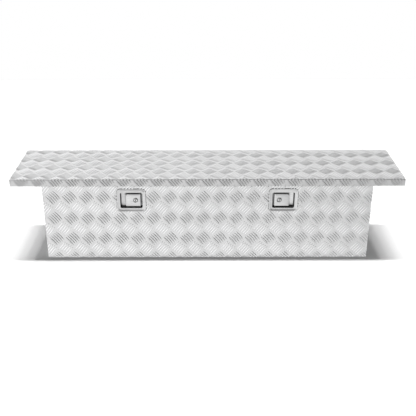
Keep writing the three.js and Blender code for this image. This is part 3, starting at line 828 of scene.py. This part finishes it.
def tub_wrap():
    """The front, floor and rear in one sheet, with rims that run on over the wings."""
    top = RIM_TOP - HALF
    front, rear = TUB_FRONT + HALF, TUB_REAR - HALF
    fold = Fold([(TUB_FRONT + RIM_FLANGE, top), (front, top), (front, HALF), (rear, HALF), (rear, top),
                 (TUB_REAR - RIM_FLANGE, top)], out=-1)
    length = fold.length
    past_bend = RIM_FLANGE - HALF - BEND + BEND_RUN
    rim = past_bend + (top - BEND - WING_UNDER)
    front_zero = past_bend + (top - BEND)
    rear_zero = length - front_zero
    right = [(WING_HALF, 0), (WING_HALF, rim), (TUB_HALF, rim), (TUB_HALF, length - rim),
             (WING_HALF, length - rim), (WING_HALF, length)]
    left = [(-s, t) for s, t in reversed(right)]
    outline = left[-1:] + right + left[:-1]
    low, high = box_mm("latch_gasket_right")
    holes = []
    for side in SIDES.values():
        middle = Vector((side * (low.x + high.x) / 2, front_zero - (low.z + high.z) / 2))
        holes.append([middle + p for p in rounded_rectangle(*LATCH_HOLE)])

    def place(s, t, height):
        y, z = fold.place(t, height)
        return np.stack((s, y, z), 1)

    beyond = WING_HALF + BEYOND
    leaf_low, leaf_high = box_mm("hinge_tub_leaf")
    leaf = (leaf_low.x, rear_zero + leaf_low.z, leaf_high.x, rear_zero + leaf_high.z)
    flats = [(-beyond, -BEYOND, beyond, SEAL_SEAT), (-beyond, length - SEAL_SEAT, beyond, length + BEYOND),
             grown(leaf, LEAF_MARGIN)]
    lines = [((-beyond, t), (beyond, t)) for t in fold.bend_lines]
    origin = (-TUB_HALF + FIRST_GROUP_IN, front_zero - RIM_TOP + FIRST_GROUP_DOWN)
    sheet = tread_sheet(outline, holes, lines, place, (origin, 1, TUB_GROUP_PITCH), flats)
    return add_tread_sheet("tub_wrap", sheet, "tub", "tub_shell", flipped=True)


def tub_end(side_name):
    """An end panel that folds out into the wing's underside and up to the rim."""
    side = SIDES[side_name]
    low, high = box_mm(f"tub_end_{side_name}")
    wall, tray, rise, top = TUB_HALF - HALF, WING_UNDER + HALF, WING_HALF - HALF, RIM_TOP - HALF
    corners = [(low.z, wall), (tray, wall), (tray, rise), (top, rise), (top, WING_HALF - RIM_FLANGE)]
    fold = Fold(corners, out=1)
    front, rear, length = low.y, high.y, fold.length
    notch = length - RIM_FLANGE + HALF + BEND - BEND_RUN - NOTCH_GAP
    inner_front = TUB_FRONT + RIM_FLANGE + CORNER_GAP
    inner_rear = TUB_REAR - RIM_FLANGE - CORNER_GAP
    outline = [(front, 0), (rear, 0), (rear, notch), (inner_rear, notch), (inner_rear, length),
               (inner_front, length), (inner_front, notch), (front, notch)]

    def place(s, t, height):
        z, x = fold.place(t, height)
        return np.stack((side * x, s, z), 1)

    lines = [((front - BEYOND, t), (rear + BEYOND, t)) for t in fold.bend_lines]
    flats = [(front - BEYOND, length - SEAL_SEAT, rear + BEYOND, length + BEYOND)]
    tread = ((front + END_GROUP_IN, END_GROUP_UP), side, TUB_GROUP_PITCH)
    sheet = tread_sheet(outline, [], lines, place, tread, flats)
    name = f"tub_end_panel_{side_name}"
    return add_tread_sheet(name, sheet, "tub", f"tub_end_{side_name}", flipped=side < 0)


def lid():
    """The top and its four folded lips in one cross-shaped sheet."""
    x_flat = LID_HIGH.x - HALF - BEND
    y_middle = (LID_LOW.y + LID_HIGH.y) / 2
    y_flat = (LID_HIGH.y - LID_LOW.y) / 2 - HALF - BEND
    top = LID_TOP - HALF
    lip = BEND_RUN + top - BEND - LIP_BOTTOM
    x_end, y_end = x_flat + lip, y_flat + lip

    def fold_for(flat):
        edge = flat + BEND
        return Fold([(0, top), (edge, top), (edge, LIP_BOTTOM)], out=1)

    fold_x, fold_y = fold_for(x_flat), fold_for(y_flat)
    outline = [(-x_flat, -y_end), (x_flat, -y_end), (x_flat, -y_flat), (x_end, -y_flat), (x_end, y_flat),
               (x_flat, y_flat), (x_flat, y_end), (-x_flat, y_end), (-x_flat, y_flat), (-x_end, y_flat),
               (-x_end, -y_flat), (-x_flat, -y_flat)]
    lines = []
    for sign in (-1, 1):
        lines += [((sign * t, -y_flat), (sign * t, y_flat)) for t in fold_x.bend_lines]
        lines += [((-x_flat, sign * t), (x_flat, sign * t)) for t in fold_y.bend_lines]

    def place(s, t, height):
        over_x = np.abs(s) > x_flat
        x, z_x = fold_x.place(np.abs(s), height)
        y, z_y = fold_y.place(np.abs(t), height)
        x = np.where(over_x, x * np.sign(s), s)
        y = np.where(over_x, t, y * np.sign(t))
        return np.stack((x, y + y_middle, np.where(over_x, z_x, z_y)), 1)

    leaf_low, leaf_high = box_mm("hinge_lid_leaf")
    leaf_top = y_end - (leaf_high.z - LIP_BOTTOM)
    flats = [(leaf_low.x - LEAF_MARGIN, leaf_top - LEAF_MARGIN, leaf_high.x + LEAF_MARGIN, y_end + BEYOND)]
    origin = (-x_flat + LID_GROUP_IN, -y_flat - LID_GROUP_DOWN)
    sheet = tread_sheet(outline, [], lines, place, (origin, -1, LID_GROUP_PITCH), flats, LID_BAR_HEIGHT)
    return add_tread_sheet("lid_sheet", sheet, "lid", "lid_shell")


def lid_stiffener():
    """The hat channel under the lid."""
    low, high = box_mm("lid_stiffener")
    top, bottom = high.z - HAT_SHEET / 2, low.z + HAT_SHEET / 2
    right = [(HAT_CROWN, bottom), (HAT_ROOT, top), (high.y, top)]
    section = Fold([(-y, z) for y, z in reversed(right)] + right, out=1)
    shape = grid_sheet(*section.sides(HAT_SHEET), [low.x, high.x], lambda i, j: True)
    return add_piece("lid_hat_channel", [("mill", shape)], "lid", ["lid_stiffener"], 0.3)


def bead(start, end, ripple=0.12, pitch=2.6):
    """A weld bead: a thin round rod with ripples."""
    start, end = Vector(start), Vector(end)
    along = (end - start).normalized()
    aside = along.orthogonal().normalized()
    across = along.cross(aside)
    length = (end - start).length
    count = max(2, int(length / pitch * 4))
    profile = []
    for i in range(count + 1):
        profile.append((WELD_RADIUS * (1 + ripple * math.sin(math.pi / 2 * i)), length * i / count))
    return turned(profile, lambda a, b, h: start + aside * a + across * b + along * h, 8)


def lid_corner_welds():
    """The lips' ends are welded and ground at each corner of the lid."""
    radius = GROUND_RADIUS
    profile = [(radius, LIP_BOTTOM), (radius, LID_TOP - radius)]
    for step in range(1, 6):
        angle = step * math.pi / 12
        profile.append((radius * math.cos(angle), LID_TOP - radius + radius * math.sin(angle)))
    shapes = []
    for x in (LID_LOW.x + radius, LID_HIGH.x - radius):
        for y in (LID_LOW.y + radius, LID_HIGH.y - radius):
            shapes.append(turned(profile, lambda a, b, h, x=x, y=y: (x + a, y + b, h), 20))
    return add_piece("lid_corner_welds", [("tread", merged(*shapes))], "lid")


def tub_seam_welds():
    """Beads where the end panels meet the wrapped sheet: up both corners and along the floor."""
    shapes = []
    for side in SIDES.values():
        x = side * (TUB_HALF - 0.3)
        front, rear = TUB_FRONT + 2.2, TUB_REAR - 2.2
        shapes += [bead((x, y, 3), (x, y, WING_UNDER)) for y in (front, rear)]
        shapes.append(bead((x, front + 2, 2.2), (x, rear - 2, 2.2)))
    return add_piece("tub_seam_welds", [("mill", merged(*shapes))], "tub")


# ---- Weather seal ----

SEAL_BULB = 5.2  # radius
SEAL_CORNER = 13.5


def weather_seal():
    """A rubber strip on the rim with a hollow-looking bulb, rounded at the corners."""
    low, high = box_mm("weather_seal")
    width = RIM_FLANGE - 2 * SHEET
    middle = high.z - low.z - SEAL_BULB
    foot = [(0.3, 0), (0, 0.4), (0, 2.2), (0.5, 2.7)]
    profile = list(foot)
    for angle in range(-60, 241, 20):
        turn = math.radians(angle)
        profile.append((width / 2 - SEAL_BULB * math.cos(turn), middle + SEAL_BULB * math.sin(turn)))
    profile += [(width - inward, height) for inward, height in reversed(foot)]
    size = high - low
    centre = (low + high) / 2
    rings = []
    for inward, height in profile:
        outline = rounded_rectangle(size.x - 2 * inward, size.y - 2 * inward, SEAL_CORNER - inward, 8)
        rings.append([(centre.x + p.x, centre.y + p.y, low.z + height) for p in outline])
    return add_piece("rim_seal", [("rubber", loft(rings, closed=True))], "tub", ["weather_seal"])


# ---- Piano hinge ----

HINGE_RADIUS = 4.5
HINGE_BORE = 2.25
HINGE_LEAF = 1.5
HINGE_KNUCKLES = 59
HINGE_PIN_LOW, HINGE_PIN_HIGH = box_mm("hinge_pin")
HINGE_AXIS = (HINGE_PIN_LOW + HINGE_PIN_HIGH) / 2
KNUCKLE_GAP = 0.4
RIVET_RADIUS, RIVET_HEIGHT, RIVETS = 3.2, 1.3, 20
RIVET_IN = 9.0  # from a leaf's free edge
RIVET_SUNK = 0.05


def hinge_rows():
    low, high = box_mm("hinge_tub_leaf")
    pitch = (high.x - low.x) / HINGE_KNUCKLES
    rows = []
    for i in range(HINGE_KNUCKLES):
        rows += [low.x + i * pitch + KNUCKLE_GAP / 2, low.x + (i + 1) * pitch - KNUCKLE_GAP / 2]
    return rows


def curl(first, last, steps=20):
    """Outer and inner section points of a leaf's end rolled round the pin, in degrees about the axis."""
    outer, inner = [], []
    for step in range(steps + 1):
        angle = math.radians(first + (last - first) * step / steps)
        bore = HINGE_RADIUS - HINGE_LEAF if step == 0 else HINGE_BORE
        for side, radius in ((outer, HINGE_RADIUS), (inner, bore)):
            side.append((HINGE_AXIS.y + radius * math.cos(angle), HINGE_AXIS.z + radius * math.sin(angle)))
    return outer, inner


def rivet_row(y, z):
    """Domed heads that face the rear."""
    low, high = box_mm("hinge_tub_leaf")
    pitch = (high.x - low.x) / RIVETS
    radius, height = RIVET_RADIUS, RIVET_HEIGHT
    profile = [(radius, 0), (radius, 0.25), (radius * 0.87, height * 0.6), (radius * 0.5, height * 0.92),
               (0.4, height)]
    heads = []
    for i in range(RIVETS):
        x = low.x + (i + 0.5) * pitch
        heads.append(turned(profile, lambda a, b, h, x=x: (x + a, y + h, z + b), 14))
    return merged(*heads)


def hinge_leaf(name, node, body, flat, rolled, first, rivets):
    """A leaf whose flat section runs the whole length, and rolls round the pin at every other knuckle."""
    outer, inner = [plain + round_pin for plain, round_pin in zip(flat, rolled)]
    shared = len(flat[0]) - 1

    def keep(i, j):
        return j < shared or (i % 2 == 0 and (i // 2) % 2 == first)

    shape = merged(grid_sheet(outer, inner, hinge_rows(), keep), rivets)
    return add_piece(name, [("hinge", shape)], body, [node])


def hinge():
    half = HINGE_LEAF / 2
    low, high = box_mm("hinge_tub_leaf")[0], box_mm("hinge_lid_leaf")[1]
    wall = low.y + half
    level = HINGE_AXIS.z - HINGE_RADIUS + half
    gap = HINGE_RADIUS + 0.5
    fold = Fold([(wall, low.z), (wall, level), (HINGE_AXIS.y - gap, level)], out=-1)
    rivets = rivet_row(wall + half - RIVET_SUNK, low.z + RIVET_IN)
    flat = fold.sides(HINGE_LEAF)
    hinge_leaf("hinge_leaf_on_tub", "hinge_tub_leaf", "tub", flat, curl(-90, 199), 0, rivets)
    near = HINGE_AXIS.y - HINGE_RADIUS
    rivets = rivet_row(near + HINGE_LEAF - RIVET_SUNK, high.z - RIVET_IN)
    flat = [[(y, high.z), (y, HINGE_AXIS.z + gap)] for y in (near, near + HINGE_LEAF)]
    hinge_leaf("hinge_leaf_on_lid", "hinge_lid_leaf", "lid", flat, curl(180, 469), 1, rivets)
    finish_node("hinge_pin", "zinc")


# ---- Latches: shapes of the right one, x away from the box's middle, depth into the box ----

DISH_LOW, DISH_HIGH = box_mm("latch_dish_right")
LATCH_X = (DISH_LOW.x + DISH_HIGH.x) / 2
LATCH_Z = (DISH_LOW.z + DISH_HIGH.z) / 2
FLANGE = (DISH_HIGH.x - DISH_LOW.x, DISH_HIGH.z - DISH_LOW.z, 17.0)  # width, height and corner
FLANGE_FRONT, FLANGE_BACK = -3.1, -1.6
GASKET_FRONT, GASKET_BACK = -1.3, -0.3
STUD_PLACE = (58.5, 30.0)
DISH = (100.0, 74.0, 7.0)
DISH_FLOOR, DISH_BACK = 20.0, 21.2
FINGER_SLOT = ((-42, 17), (-25, 17), (-25, 29), (-42, 29))
PADDLE_LOW, PADDLE_HIGH = (-42.0, -30.5), (26.0, 30.5)
PADDLE_NOTCH, PADDLE_CORNER = 5.0, 3.4
PADDLE_DEEP, PADDLE_SHEET = 8.0, 1.5
PADDLE_PIN = (-38.0, 8.0)  # x and depth
KEY_X = -19.0
KEY_RADIUS, KEY_FACE, KEY_STEM = 9.0, 6.0, 3.0
KEY_FRONT = -2.0
KEYWAY, KEYWAY_END = (4.0, 9.8, 1.3), 3.0
KEY_BORE, BOSS_RADIUS, COLLAR_RADIUS = 10.3, 11.5, 12.6
BOSS_END = 12.0
BARREL_RADIUS, BARREL_BORE, BARREL_HALF = 4.0, 2.1, 28.8
FINGER = (5.0, 8.0, 1.5)
FINGER_Z = 23.0
TONGUE_DEPTH = 28.0
SPRING_START, SPRING_LENGTH = -19.2, 32.0
SPRING_TURNS, SPRING_RADIUS, SPRING_WIRE = 6, 3.0, 0.5


def in_latch(x, z, depth):
    return (LATCH_X + x, TUB_FRONT + depth, LATCH_Z + z)


def on_paddle_axis(a, b, h):
    return in_latch(PADDLE_PIN[0] + a, h, PADDLE_PIN[1] + b)


def latch_outline(size, grow):
    width, height, corner = size
    return rounded_rectangle(width + 2 * grow, height + 2 * grow, corner + grow, 6)


def latch_rings(size, levels):
    """A rounded rectangle's rings at (growth, depth) levels."""
    return [at(latch_outline(size, grow), depth, in_latch) for grow, depth in levels]


def latch_dish():
    """A pressed dish: rolled flange with a step, drafted walls, a slot for the lever finger, weld studs."""
    slot = rounded_corners(FINGER_SLOT, [1.5] * 4)
    rim = latch_rings(FLANGE, ((0, FLANGE_BACK), (0, -2.2), (-0.35, -2.8), (-1.2, FLANGE_FRONT),
                               (-4.4, FLANGE_FRONT), (-5.2, -2.6)))
    lip = latch_rings(DISH, ((3.2, -2.6), (1.6, -2.5), (0.6, -2.0), (0.1, -1.0)))
    walls = latch_rings(DISH, ((0.1, -1.0), (-0.7, 17.5), (-1.3, 19.3), (-3.2, DISH_FLOOR)))
    outside = latch_rings(DISH, ((-3.0, DISH_BACK), (-0.4, 20.6), (0.6, 18.5), (1.2, -0.9),
                                 (2.4, FLANGE_BACK)))
    floor = pierced(latch_outline(DISH, -3.2), [slot], DISH_FLOOR, in_latch)
    back = pierced(latch_outline(DISH, -3.0), [slot], DISH_BACK, in_latch)
    slot_wall = sleeve([at(slot, depth, in_latch) for depth in (DISH_FLOOR, DISH_BACK)])
    studs = []
    for x in (-STUD_PLACE[0], STUD_PLACE[0]):
        for z in (-STUD_PLACE[1], STUD_PLACE[1]):
            profile = [(2, -1.8), (2, 9.4), (1.5, 10)]
            studs.append(turned(profile, lambda a, b, h, x=x, z=z: in_latch(x + a, z + b, h), 14))
    skin = merged(sleeve(rim + lip), floor, sleeve(outside + [rim[0]]), back, slot_wall, *studs)
    # The dish's inner walls take the darkened stainless: painted shade in the recess.
    parts = [("stainless", skin), ("dish", sleeve(walls))]
    return add_pair("latch_pressing", parts, "tub", ["latch_dish"])


def paddle_outline(inset):
    """The paddle's face, with a notch at its upper outer corner."""
    left, low = (edge + inset for edge in PADDLE_LOW)
    right, high = (edge - inset for edge in PADDLE_HIGH)
    step_x, step_z = right - PADDLE_NOTCH, high - PADDLE_NOTCH
    corners = [(left, low), (right, low), (right, step_z), (step_x, step_z), (step_x, high), (left, high)]
    outer = PADDLE_CORNER - inset
    notch = max(2.2 - inset / 2, 0.6)
    return rounded_corners(corners, [outer, outer, notch, 0.8 + inset, notch, outer])


def key_circle(radius):
    return circle(radius, (KEY_X, 0))


def key_sleeve(levels):
    """A round wall about the key's axis, through (radius, depth) levels."""
    return sleeve([at(key_circle(radius), depth, in_latch) for radius, depth in levels])


def paddle():
    """A pressed pan with a raised collar round the key plug, a boss behind, its barrel and its finger."""
    def pan(levels):
        return sleeve([at(paddle_outline(inset), depth, in_latch) for inset, depth in levels])

    sheet = PADDLE_SHEET
    skin = pan(((sheet, PADDLE_DEEP), (0, PADDLE_DEEP), (0, 2.4), (0.3, 1.2), (1.0, 0.35), (2.1, 0)))
    lining = pan(((sheet, PADDLE_DEEP), (sheet, 2.9), (2.0, 2.0), (3.0, sheet)))
    face = pierced(paddle_outline(2.1), [key_circle(COLLAR_RADIUS)], 0, in_latch)
    inner = pierced(paddle_outline(3.0), [key_circle(BOSS_RADIUS)], sheet, in_latch)
    collar = key_sleeve(((COLLAR_RADIUS, 0), (12.2, -0.5), (11.6, -0.9), (11.0, -0.9), (10.5, -0.6),
                         (KEY_BORE, 0)))
    boss = key_sleeve(((KEY_BORE, 0), (KEY_BORE, BOSS_END), (BOSS_RADIUS, BOSS_END), (BOSS_RADIUS, sheet)))
    tube = [(BARREL_RADIUS, -BARREL_HALF), (BARREL_RADIUS, BARREL_HALF), (BARREL_BORE, BARREL_HALF),
            (BARREL_BORE, -BARREL_HALF)]
    barrel = turned(tube, on_paddle_axis, 20, closed=True)
    finger = []
    for inset, depth in ((0, 9.5), (0, 30.4), (0.6, 31)):
        outline = rounded_rectangle(FINGER[0] - 2 * inset, FINGER[1] - 2 * inset, FINGER[2] - inset)
        finger.append([in_latch(PADDLE_PIN[0] + p.x, FINGER_Z + p.y, depth) for p in outline])
    # The boss behind the paddle takes the darkened stainless: painted shade.
    parts = [("stainless", merged(skin, lining, face, inner, collar, barrel, loft(finger))), ("dish", boss)]
    return add_pair("paddle_pressing", parts, "paddle", ["paddle"])


def key_plug():
    """A turned plug. The groove round its face and its keyway are near black, a painted shade."""
    shell = key_sleeve(((KEY_STEM, 16), (KEY_STEM, 13), (KEY_RADIUS, 13), (KEY_RADIUS, -1.3), (8.5, -1.8),
                        (7.9, KEY_FRONT)))
    groove = key_sleeve(((7.9, KEY_FRONT), (7.6, -1.2), (6.4, -1.2), (KEY_FACE, KEY_FRONT)))
    keyway = [p + Vector((KEY_X, 0)) for p in rounded_rectangle(*KEYWAY)]
    stem = cap(at(key_circle(KEY_STEM), 16, in_latch))
    face = pierced(key_circle(KEY_FACE), [keyway], KEY_FRONT, in_latch)
    hole = [at(keyway, depth, in_latch) for depth in (KEY_FRONT, KEYWAY_END)]
    # The groove and the keyway take the near-black painted shade.
    parts = [("chrome", merged(shell, stem, face)), ("keyway", merged(groove, sleeve(hole), cap(hole[1])))]
    return add_pair("key_plug", parts, "key", ["key_cylinder"])


def latch_gasket():
    """A rubber frame between the flange and the tub, with a rounded outer edge."""
    rings = latch_rings(FLANGE, ((0.9, GASKET_BACK), (1.3, -0.8), (0.9, GASKET_FRONT)))
    rings += latch_rings(LATCH_HOLE, ((0, GASKET_FRONT), (0, GASKET_BACK)))
    shape = loft(rings, closed=True)
    return add_pair("flange_gasket", [("rubber", shape)], "tub", ["latch_gasket"])


def tongue_springs():
    """Coils that the tongues press against the housings' end walls."""
    steps = 24 * SPRING_TURNS
    rings = []
    for i in range(steps + 1):
        angle = 2 * math.pi * SPRING_TURNS * i / steps
        ring = []
        for across, along in arc_points(SPRING_WIRE, 8):
            reach = SPRING_RADIUS + across
            x = SPRING_START + SPRING_LENGTH * i / steps + along
            z = FINGER_Z + reach * math.sin(angle)
            ring.append(in_latch(x, z, TONGUE_DEPTH + reach * math.cos(angle)))
        rings.append(ring)
    springs = add_pair("tongue_coil", [("zinc", loft(rings))], "tub", ["tongue_spring"])
    for side_name, side in SIDES.items():
        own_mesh(springs[side_name])


def latch():
    latch_dish()
    paddle()
    key_plug()
    latch_gasket()
    tongue_springs()
    edges = {"latch_clamp": 0.3, "latch_housing": 0.3, "latch_tongue": 0.4, "lock_cam": 0.2,
             "paddle_pin": 0.0, "striker": 0.4}
    edges.update({f"latch_nut_{i}": 0.25 for i in range(1, 5)})
    for side_name in SIDES:
        for node, edge in edges.items():
            finish_node(f"{node}_{side_name}", "zinc", edge)


# ---- Gas struts ----

FOOT_LOW, FOOT_HIGH = box_mm("strut_tub_bracket_right")
HEAD_LOW, HEAD_HIGH = box_mm("strut_lid_bracket_right")
BALL_RADIUS = 5.5
STRUT_X = FOOT_LOW.x + BALL_RADIUS
STRUT_FOOT = Vector((STRUT_X, (FOOT_LOW.y + FOOT_HIGH.y) / 2, (FOOT_LOW.z + FOOT_HIGH.z) / 2))
STRUT_HEAD = Vector((STRUT_X, (HEAD_LOW.y + HEAD_HIGH.y) / 2, HEAD_LOW.z + 9))
STRUT_ALONG = (STRUT_HEAD - STRUT_FOOT).normalized()
STRUT_ACROSS = Vector((1, 0, 0)).cross(STRUT_ALONG)
TUBE_RADIUS, TUBE_TOP = 9.5, 215.0
ROD_RADIUS, ROD_END = 4.0, 199.0  # the rod's end in the tube, measured down from its ball
BRACKET_SHEET = 2.5


def along_strut(a, b, h):
    return STRUT_FOOT + Vector((a, 0, 0)) + STRUT_ACROSS * b + STRUT_ALONG * h


def below_head(a, b, h):
    return STRUT_HEAD + Vector((a, 0, 0)) + STRUT_ACROSS * b - STRUT_ALONG * h


def out_from(centre):
    """Places for a round piece that lies along +X from a centre."""
    return lambda a, b, h: (centre.x + h, centre.y + a, centre.z + b)


def ball_socket(centre):
    """The ring round a ball, with soft rims."""
    profile = ((6.1, -3.1), (6.8, -4), (8.8, -4), (9.5, -3.2), (9.5, 3.2), (8.8, 4), (6.8, 4), (6.1, 3.1))
    return turned(profile, out_from(centre), 32, closed=True)


def ball_stud(centre, length):
    """A ball on a necked shank with a collar at its foot."""
    profile = []
    for angle in range(-80, 61, 10):
        turn = math.radians(angle)
        profile.append((BALL_RADIUS * math.cos(turn), BALL_RADIUS * math.sin(turn)))
    profile += [(2.4, 6.0), (3, 7.0), (3, length - 3), (5, length - 2.6), (5, length - 1.2), (4.4, length)]
    return turned(profile, out_from(centre), 28)


def strut_tube():
    """A painted tube, open at the top, with a rolled groove near its mouth."""
    radius, top = TUBE_RADIUS, TUBE_TOP
    profile = ((3.2, 8), (3.2, 12.5), (7.6, 13.4), (9.0, 14.6), (radius, 16.5), (radius, top - 12),
               (8.9, top - 11), (8.9, top - 9), (radius, top - 8), (radius, top - 2.4), (8.6, top - 0.5),
               (7.4, top), (5, top), (4.7, top - 1), (4.7, top - 10), (8.2, top - 10), (8.2, 20))
    shape = merged(turned(profile, along_strut, 36), ball_socket(STRUT_FOOT))
    return add_pair("strut_tube", [("black", shape)], "strut_cylinder", ["strut_cylinder"])


def strut_rod():
    """A plated rod with a piston inside the tube. Its socket is painted."""
    piston = ((7.2, ROD_END + 6), (7.2, ROD_END))
    rod = turned((*piston, (ROD_RADIUS, ROD_END), (ROD_RADIUS, 12.5), (3.4, 11.5)), below_head, 28)
    neck = turned(((4.6, 13.5), (5.4, 13), (5.4, 9.5), (3.6, 8.3)), below_head, 28)
    parts = [("rod", rod), ("black", merged(neck, ball_socket(STRUT_HEAD)))]
    return add_pair("strut_piston_rod", parts, "strut_rod", ["strut_rod"])


def plate_rivets(places, height):
    """Rivet heads on a plate. places are functions that put (a, b, height) in space."""
    profile = [(3, 0), (3, 0.3), (2.5, height * 0.7), (1.2, height), (0.3, height)]
    return merged(*(turned(profile, place, 16) for place in places))


def strut_tub_bracket():
    """A pad riveted to the end panel, with a ball stud."""
    back = FOOT_HIGH.x - BRACKET_SHEET
    face = back + 0.1
    pad = rounded_plate(FOOT_HIGH.y - FOOT_LOW.y, FOOT_HIGH.z - FOOT_LOW.z, 8, 0, BRACKET_SHEET,
                        lambda a, b, h: (back + h, STRUT_FOOT.y + a, STRUT_FOOT.z + b))
    places = [lambda a, b, h, y=STRUT_FOOT.y + dy: (face - h, y + a, STRUT_FOOT.z + b) for dy in (-15, 15)]
    shape = merged(pad, ball_stud(STRUT_FOOT, back - STRUT_X + 0.5), plate_rivets(places, 1.4))
    return add_pair("strut_foot_bracket", [("zinc", shape)], "tub", ["strut_tub_bracket"])


def strut_lid_bracket():
    """An angle riveted under the lid, with a ball stud through its ear."""
    half = BRACKET_SHEET / 2
    ear, top = HEAD_HIGH.x - half, HEAD_HIGH.z - half
    fold = Fold([(STRUT_X + 2, top), (ear, top), (ear, HEAD_LOW.z)], out=1)
    foot, narrow = (HEAD_HIGH.y - HEAD_LOW.y) / 2, 11.0
    bend = fold.bend_lines
    stations = [(0, foot - 2), (0.8, foot)] + [(t, foot) for t in bend[:2]]
    stations += [(t, foot + (narrow - foot) * i / 4) for i, t in enumerate(bend[2:], 1)]
    stations += [(fold.length - 5, narrow), (fold.length - 1.5, narrow - 1.5), (fold.length, narrow - 5)]
    plate = strip(fold, stations, BRACKET_SHEET, lambda x, z, w: (x, STRUT_HEAD.y + w, z))
    face = top - half + 0.1
    places = [lambda a, b, h, y=STRUT_HEAD.y + dy: (STRUT_X + 8 + a, y + b, face - h) for dy in (-16, 16)]
    stud = ball_stud(STRUT_HEAD, HEAD_HIGH.x - BRACKET_SHEET - STRUT_X + 0.5)
    parts = [("zinc", merged(plate, stud, plate_rivets(places, 1.3)))]
    return add_pair("strut_head_bracket", parts, "lid", ["strut_lid_bracket"], 0.25)


def struts():
    strut_tube()
    strut_rod()
    strut_tub_bracket()
    strut_lid_bracket()


tub_wrap()
for name in SIDES:
    tub_end(name)
tub_seam_welds()
weather_seal()
lid()
lid_corner_welds()
lid_stiffener()
hinge()
latch()
struts()


# ---- Stage ----

FLOOR_SIZE, FLOOR_DOWN = 6.0, 0.0005  # metres
UP = (0.0, 0.0, 1.0)
WINDOW_SIDE = (-0.75, 0.62, 0.1)
ROOM_LEVELS = (0.43, 1.45)  # from the far side to the window side
ROOM_RANGE = (-0.5, 0.85)
# Dim parts of the room: a direction, the cosines at their edge and their core, how dim they are, and
# the heights (sines of the elevation) over which they end.
DIM_PARTS = (
    ((0.62, -0.77, 0.12), 0.62, 0.82, 0.97, 0.30, 0.45),
    ((-0.45, 0.40, 0.80), 0.88, 0.94, 0.90, 1.1, 1.2),
    (UP, 0.64, 0.87, 0.55, 1.1, 1.2),
)
# What the metal sees below the horizon: an even floor, darker down to the left, where the undersides
# of the bars look.
FLOOR_LEVELS = (1.40, 0.35)
FLOOR_SHADE_SIDE = (-0.45, -0.38, -0.80)
FLOOR_SHADE_RANGE = (0.85, 0.96)
FLOOR_FALL = (1.06, 0.62)  # dimmer towards the right
FLOOR_FALL_RANGE = (-0.25, 0.7)
FLOOR_EDGE = (-0.13, -0.05)  # sines of the elevations over which the floor begins
SHADOW_FILL = 0.36  # share of the room's light that reaches the matt surfaces
SUN_STRENGTH = 4.4
SUN_SPREAD = math.radians(5)
SUN_FORWARD = math.radians(-4)  # the light comes from a little behind the box
SUN_FAN = [math.radians(angle) for angle in (-12, -6, 0, 6, 12)]


def stage_material():
    return new_material("studio_white", (0.9, 0.9, 0.9), 0.0, 0.9)[0]


def make_stage():
    """A plain pale floor, which the metal doesn't mirror: it sees the world's even floor instead."""
    bpy.ops.mesh.primitive_plane_add(size=FLOOR_SIZE, location=(0, 0, -FLOOR_DOWN))
    floor = bpy.context.object
    floor.name = "studio_floor"
    floor.data.materials.append(stage_material())
    floor.visible_glossy = False


def strip_light():
    """A long soft light overhead, as a fan of suns from left to right, that only the matt surfaces see."""
    for i, aside in enumerate(SUN_FAN):
        data = bpy.data.lights.new(f"strip_{i}", "SUN")
        data.energy = SUN_STRENGTH / len(SUN_FAN)
        data.angle = SUN_SPREAD
        light = bpy.data.objects.new(f"strip_{i}", data)
        light.rotation_euler = (SUN_FORWARD, aside, 0)
        light.visible_glossy = False
        bpy.context.collection.objects.link(light)


def facing(tree, place, side, low, high, start, end):
    """A number that runs from low to high as a direction comes round to face a side."""
    dot = tree.nodes.new("ShaderNodeVectorMath")
    dot.operation = "DOT_PRODUCT"
    dot.inputs[1].default_value = Vector(side).normalized()
    tree.links.new(place.outputs["Generated"], dot.inputs[0])
    return spread(tree, dot.outputs["Value"], low, high, start, end)


def room_level(tree, place, path):
    """From a bright window side, on the left and to the rear, to a dim side on the right and behind the
    camera. What lights the matt surfaces is dimmer, so that the shadows stay deep."""
    level = facing(tree, place, WINDOW_SIDE, *ROOM_LEVELS, *ROOM_RANGE)
    for side, edge, core, depth, low, high in DIM_PARTS:
        amount = facing(tree, place, side, 0.0, depth, edge, core)
        amount = product(tree, amount, facing(tree, place, UP, 1.0, 0.0, low, high))
        level = product(tree, level, spread(tree, amount, 1.0, 0.0, 0.0, 1.0))
    return product(tree, level, spread(tree, path.outputs["Is Diffuse Ray"], 1.0, SHADOW_FILL, 0.0, 1.0))


def floor_level(tree, place):
    shade = facing(tree, place, FLOOR_SHADE_SIDE, *FLOOR_LEVELS, *FLOOR_SHADE_RANGE)
    return product(tree, shade, facing(tree, place, (1, 0, 0), *FLOOR_FALL, *FLOOR_FALL_RANGE))


def white_light(tree, background, level=None):
    """A background's white light, as strong as a level, or 1."""
    background.inputs["Color"].default_value = (1, 1, 1, 1)
    background.inputs["Strength"].default_value = 1.0
    if level is not None:
        tree.links.new(level, background.inputs["Strength"])
    return background.outputs["Background"]


def swapped(tree, factor, first, second):
    """The first light, turning into the second as the factor goes to 1."""
    mix = tree.nodes.new("ShaderNodeMixShader")
    tree.links.new(factor, mix.inputs["Fac"])
    tree.links.new(first, mix.inputs[1])
    tree.links.new(second, mix.inputs[2])
    return mix.outputs["Shader"]


def make_world():
    """A room over a floor to the metal and the matt surfaces, and plain white to the camera."""
    world = bpy.data.worlds.new("studio")
    world.use_nodes = True
    tree = world.node_tree
    place = tree.nodes.new("ShaderNodeTexCoord")
    path = tree.nodes.new("ShaderNodeLightPath")
    room = white_light(tree, tree.nodes["Background"], room_level(tree, place, path))
    floor = white_light(tree, tree.nodes.new("ShaderNodeBackground"), floor_level(tree, place))
    backdrop = white_light(tree, tree.nodes.new("ShaderNodeBackground"))
    light = swapped(tree, facing(tree, place, UP, 1.0, 0.0, *FLOOR_EDGE), room, floor)
    light = swapped(tree, path.outputs["Is Camera Ray"], light, backdrop)
    tree.links.new(light, tree.nodes["World Output"].inputs["Surface"])
    bpy.context.scene.world = world


make_stage()
make_world()
strip_light()
bpy.context.scene.view_settings.view_transform = "Standard"
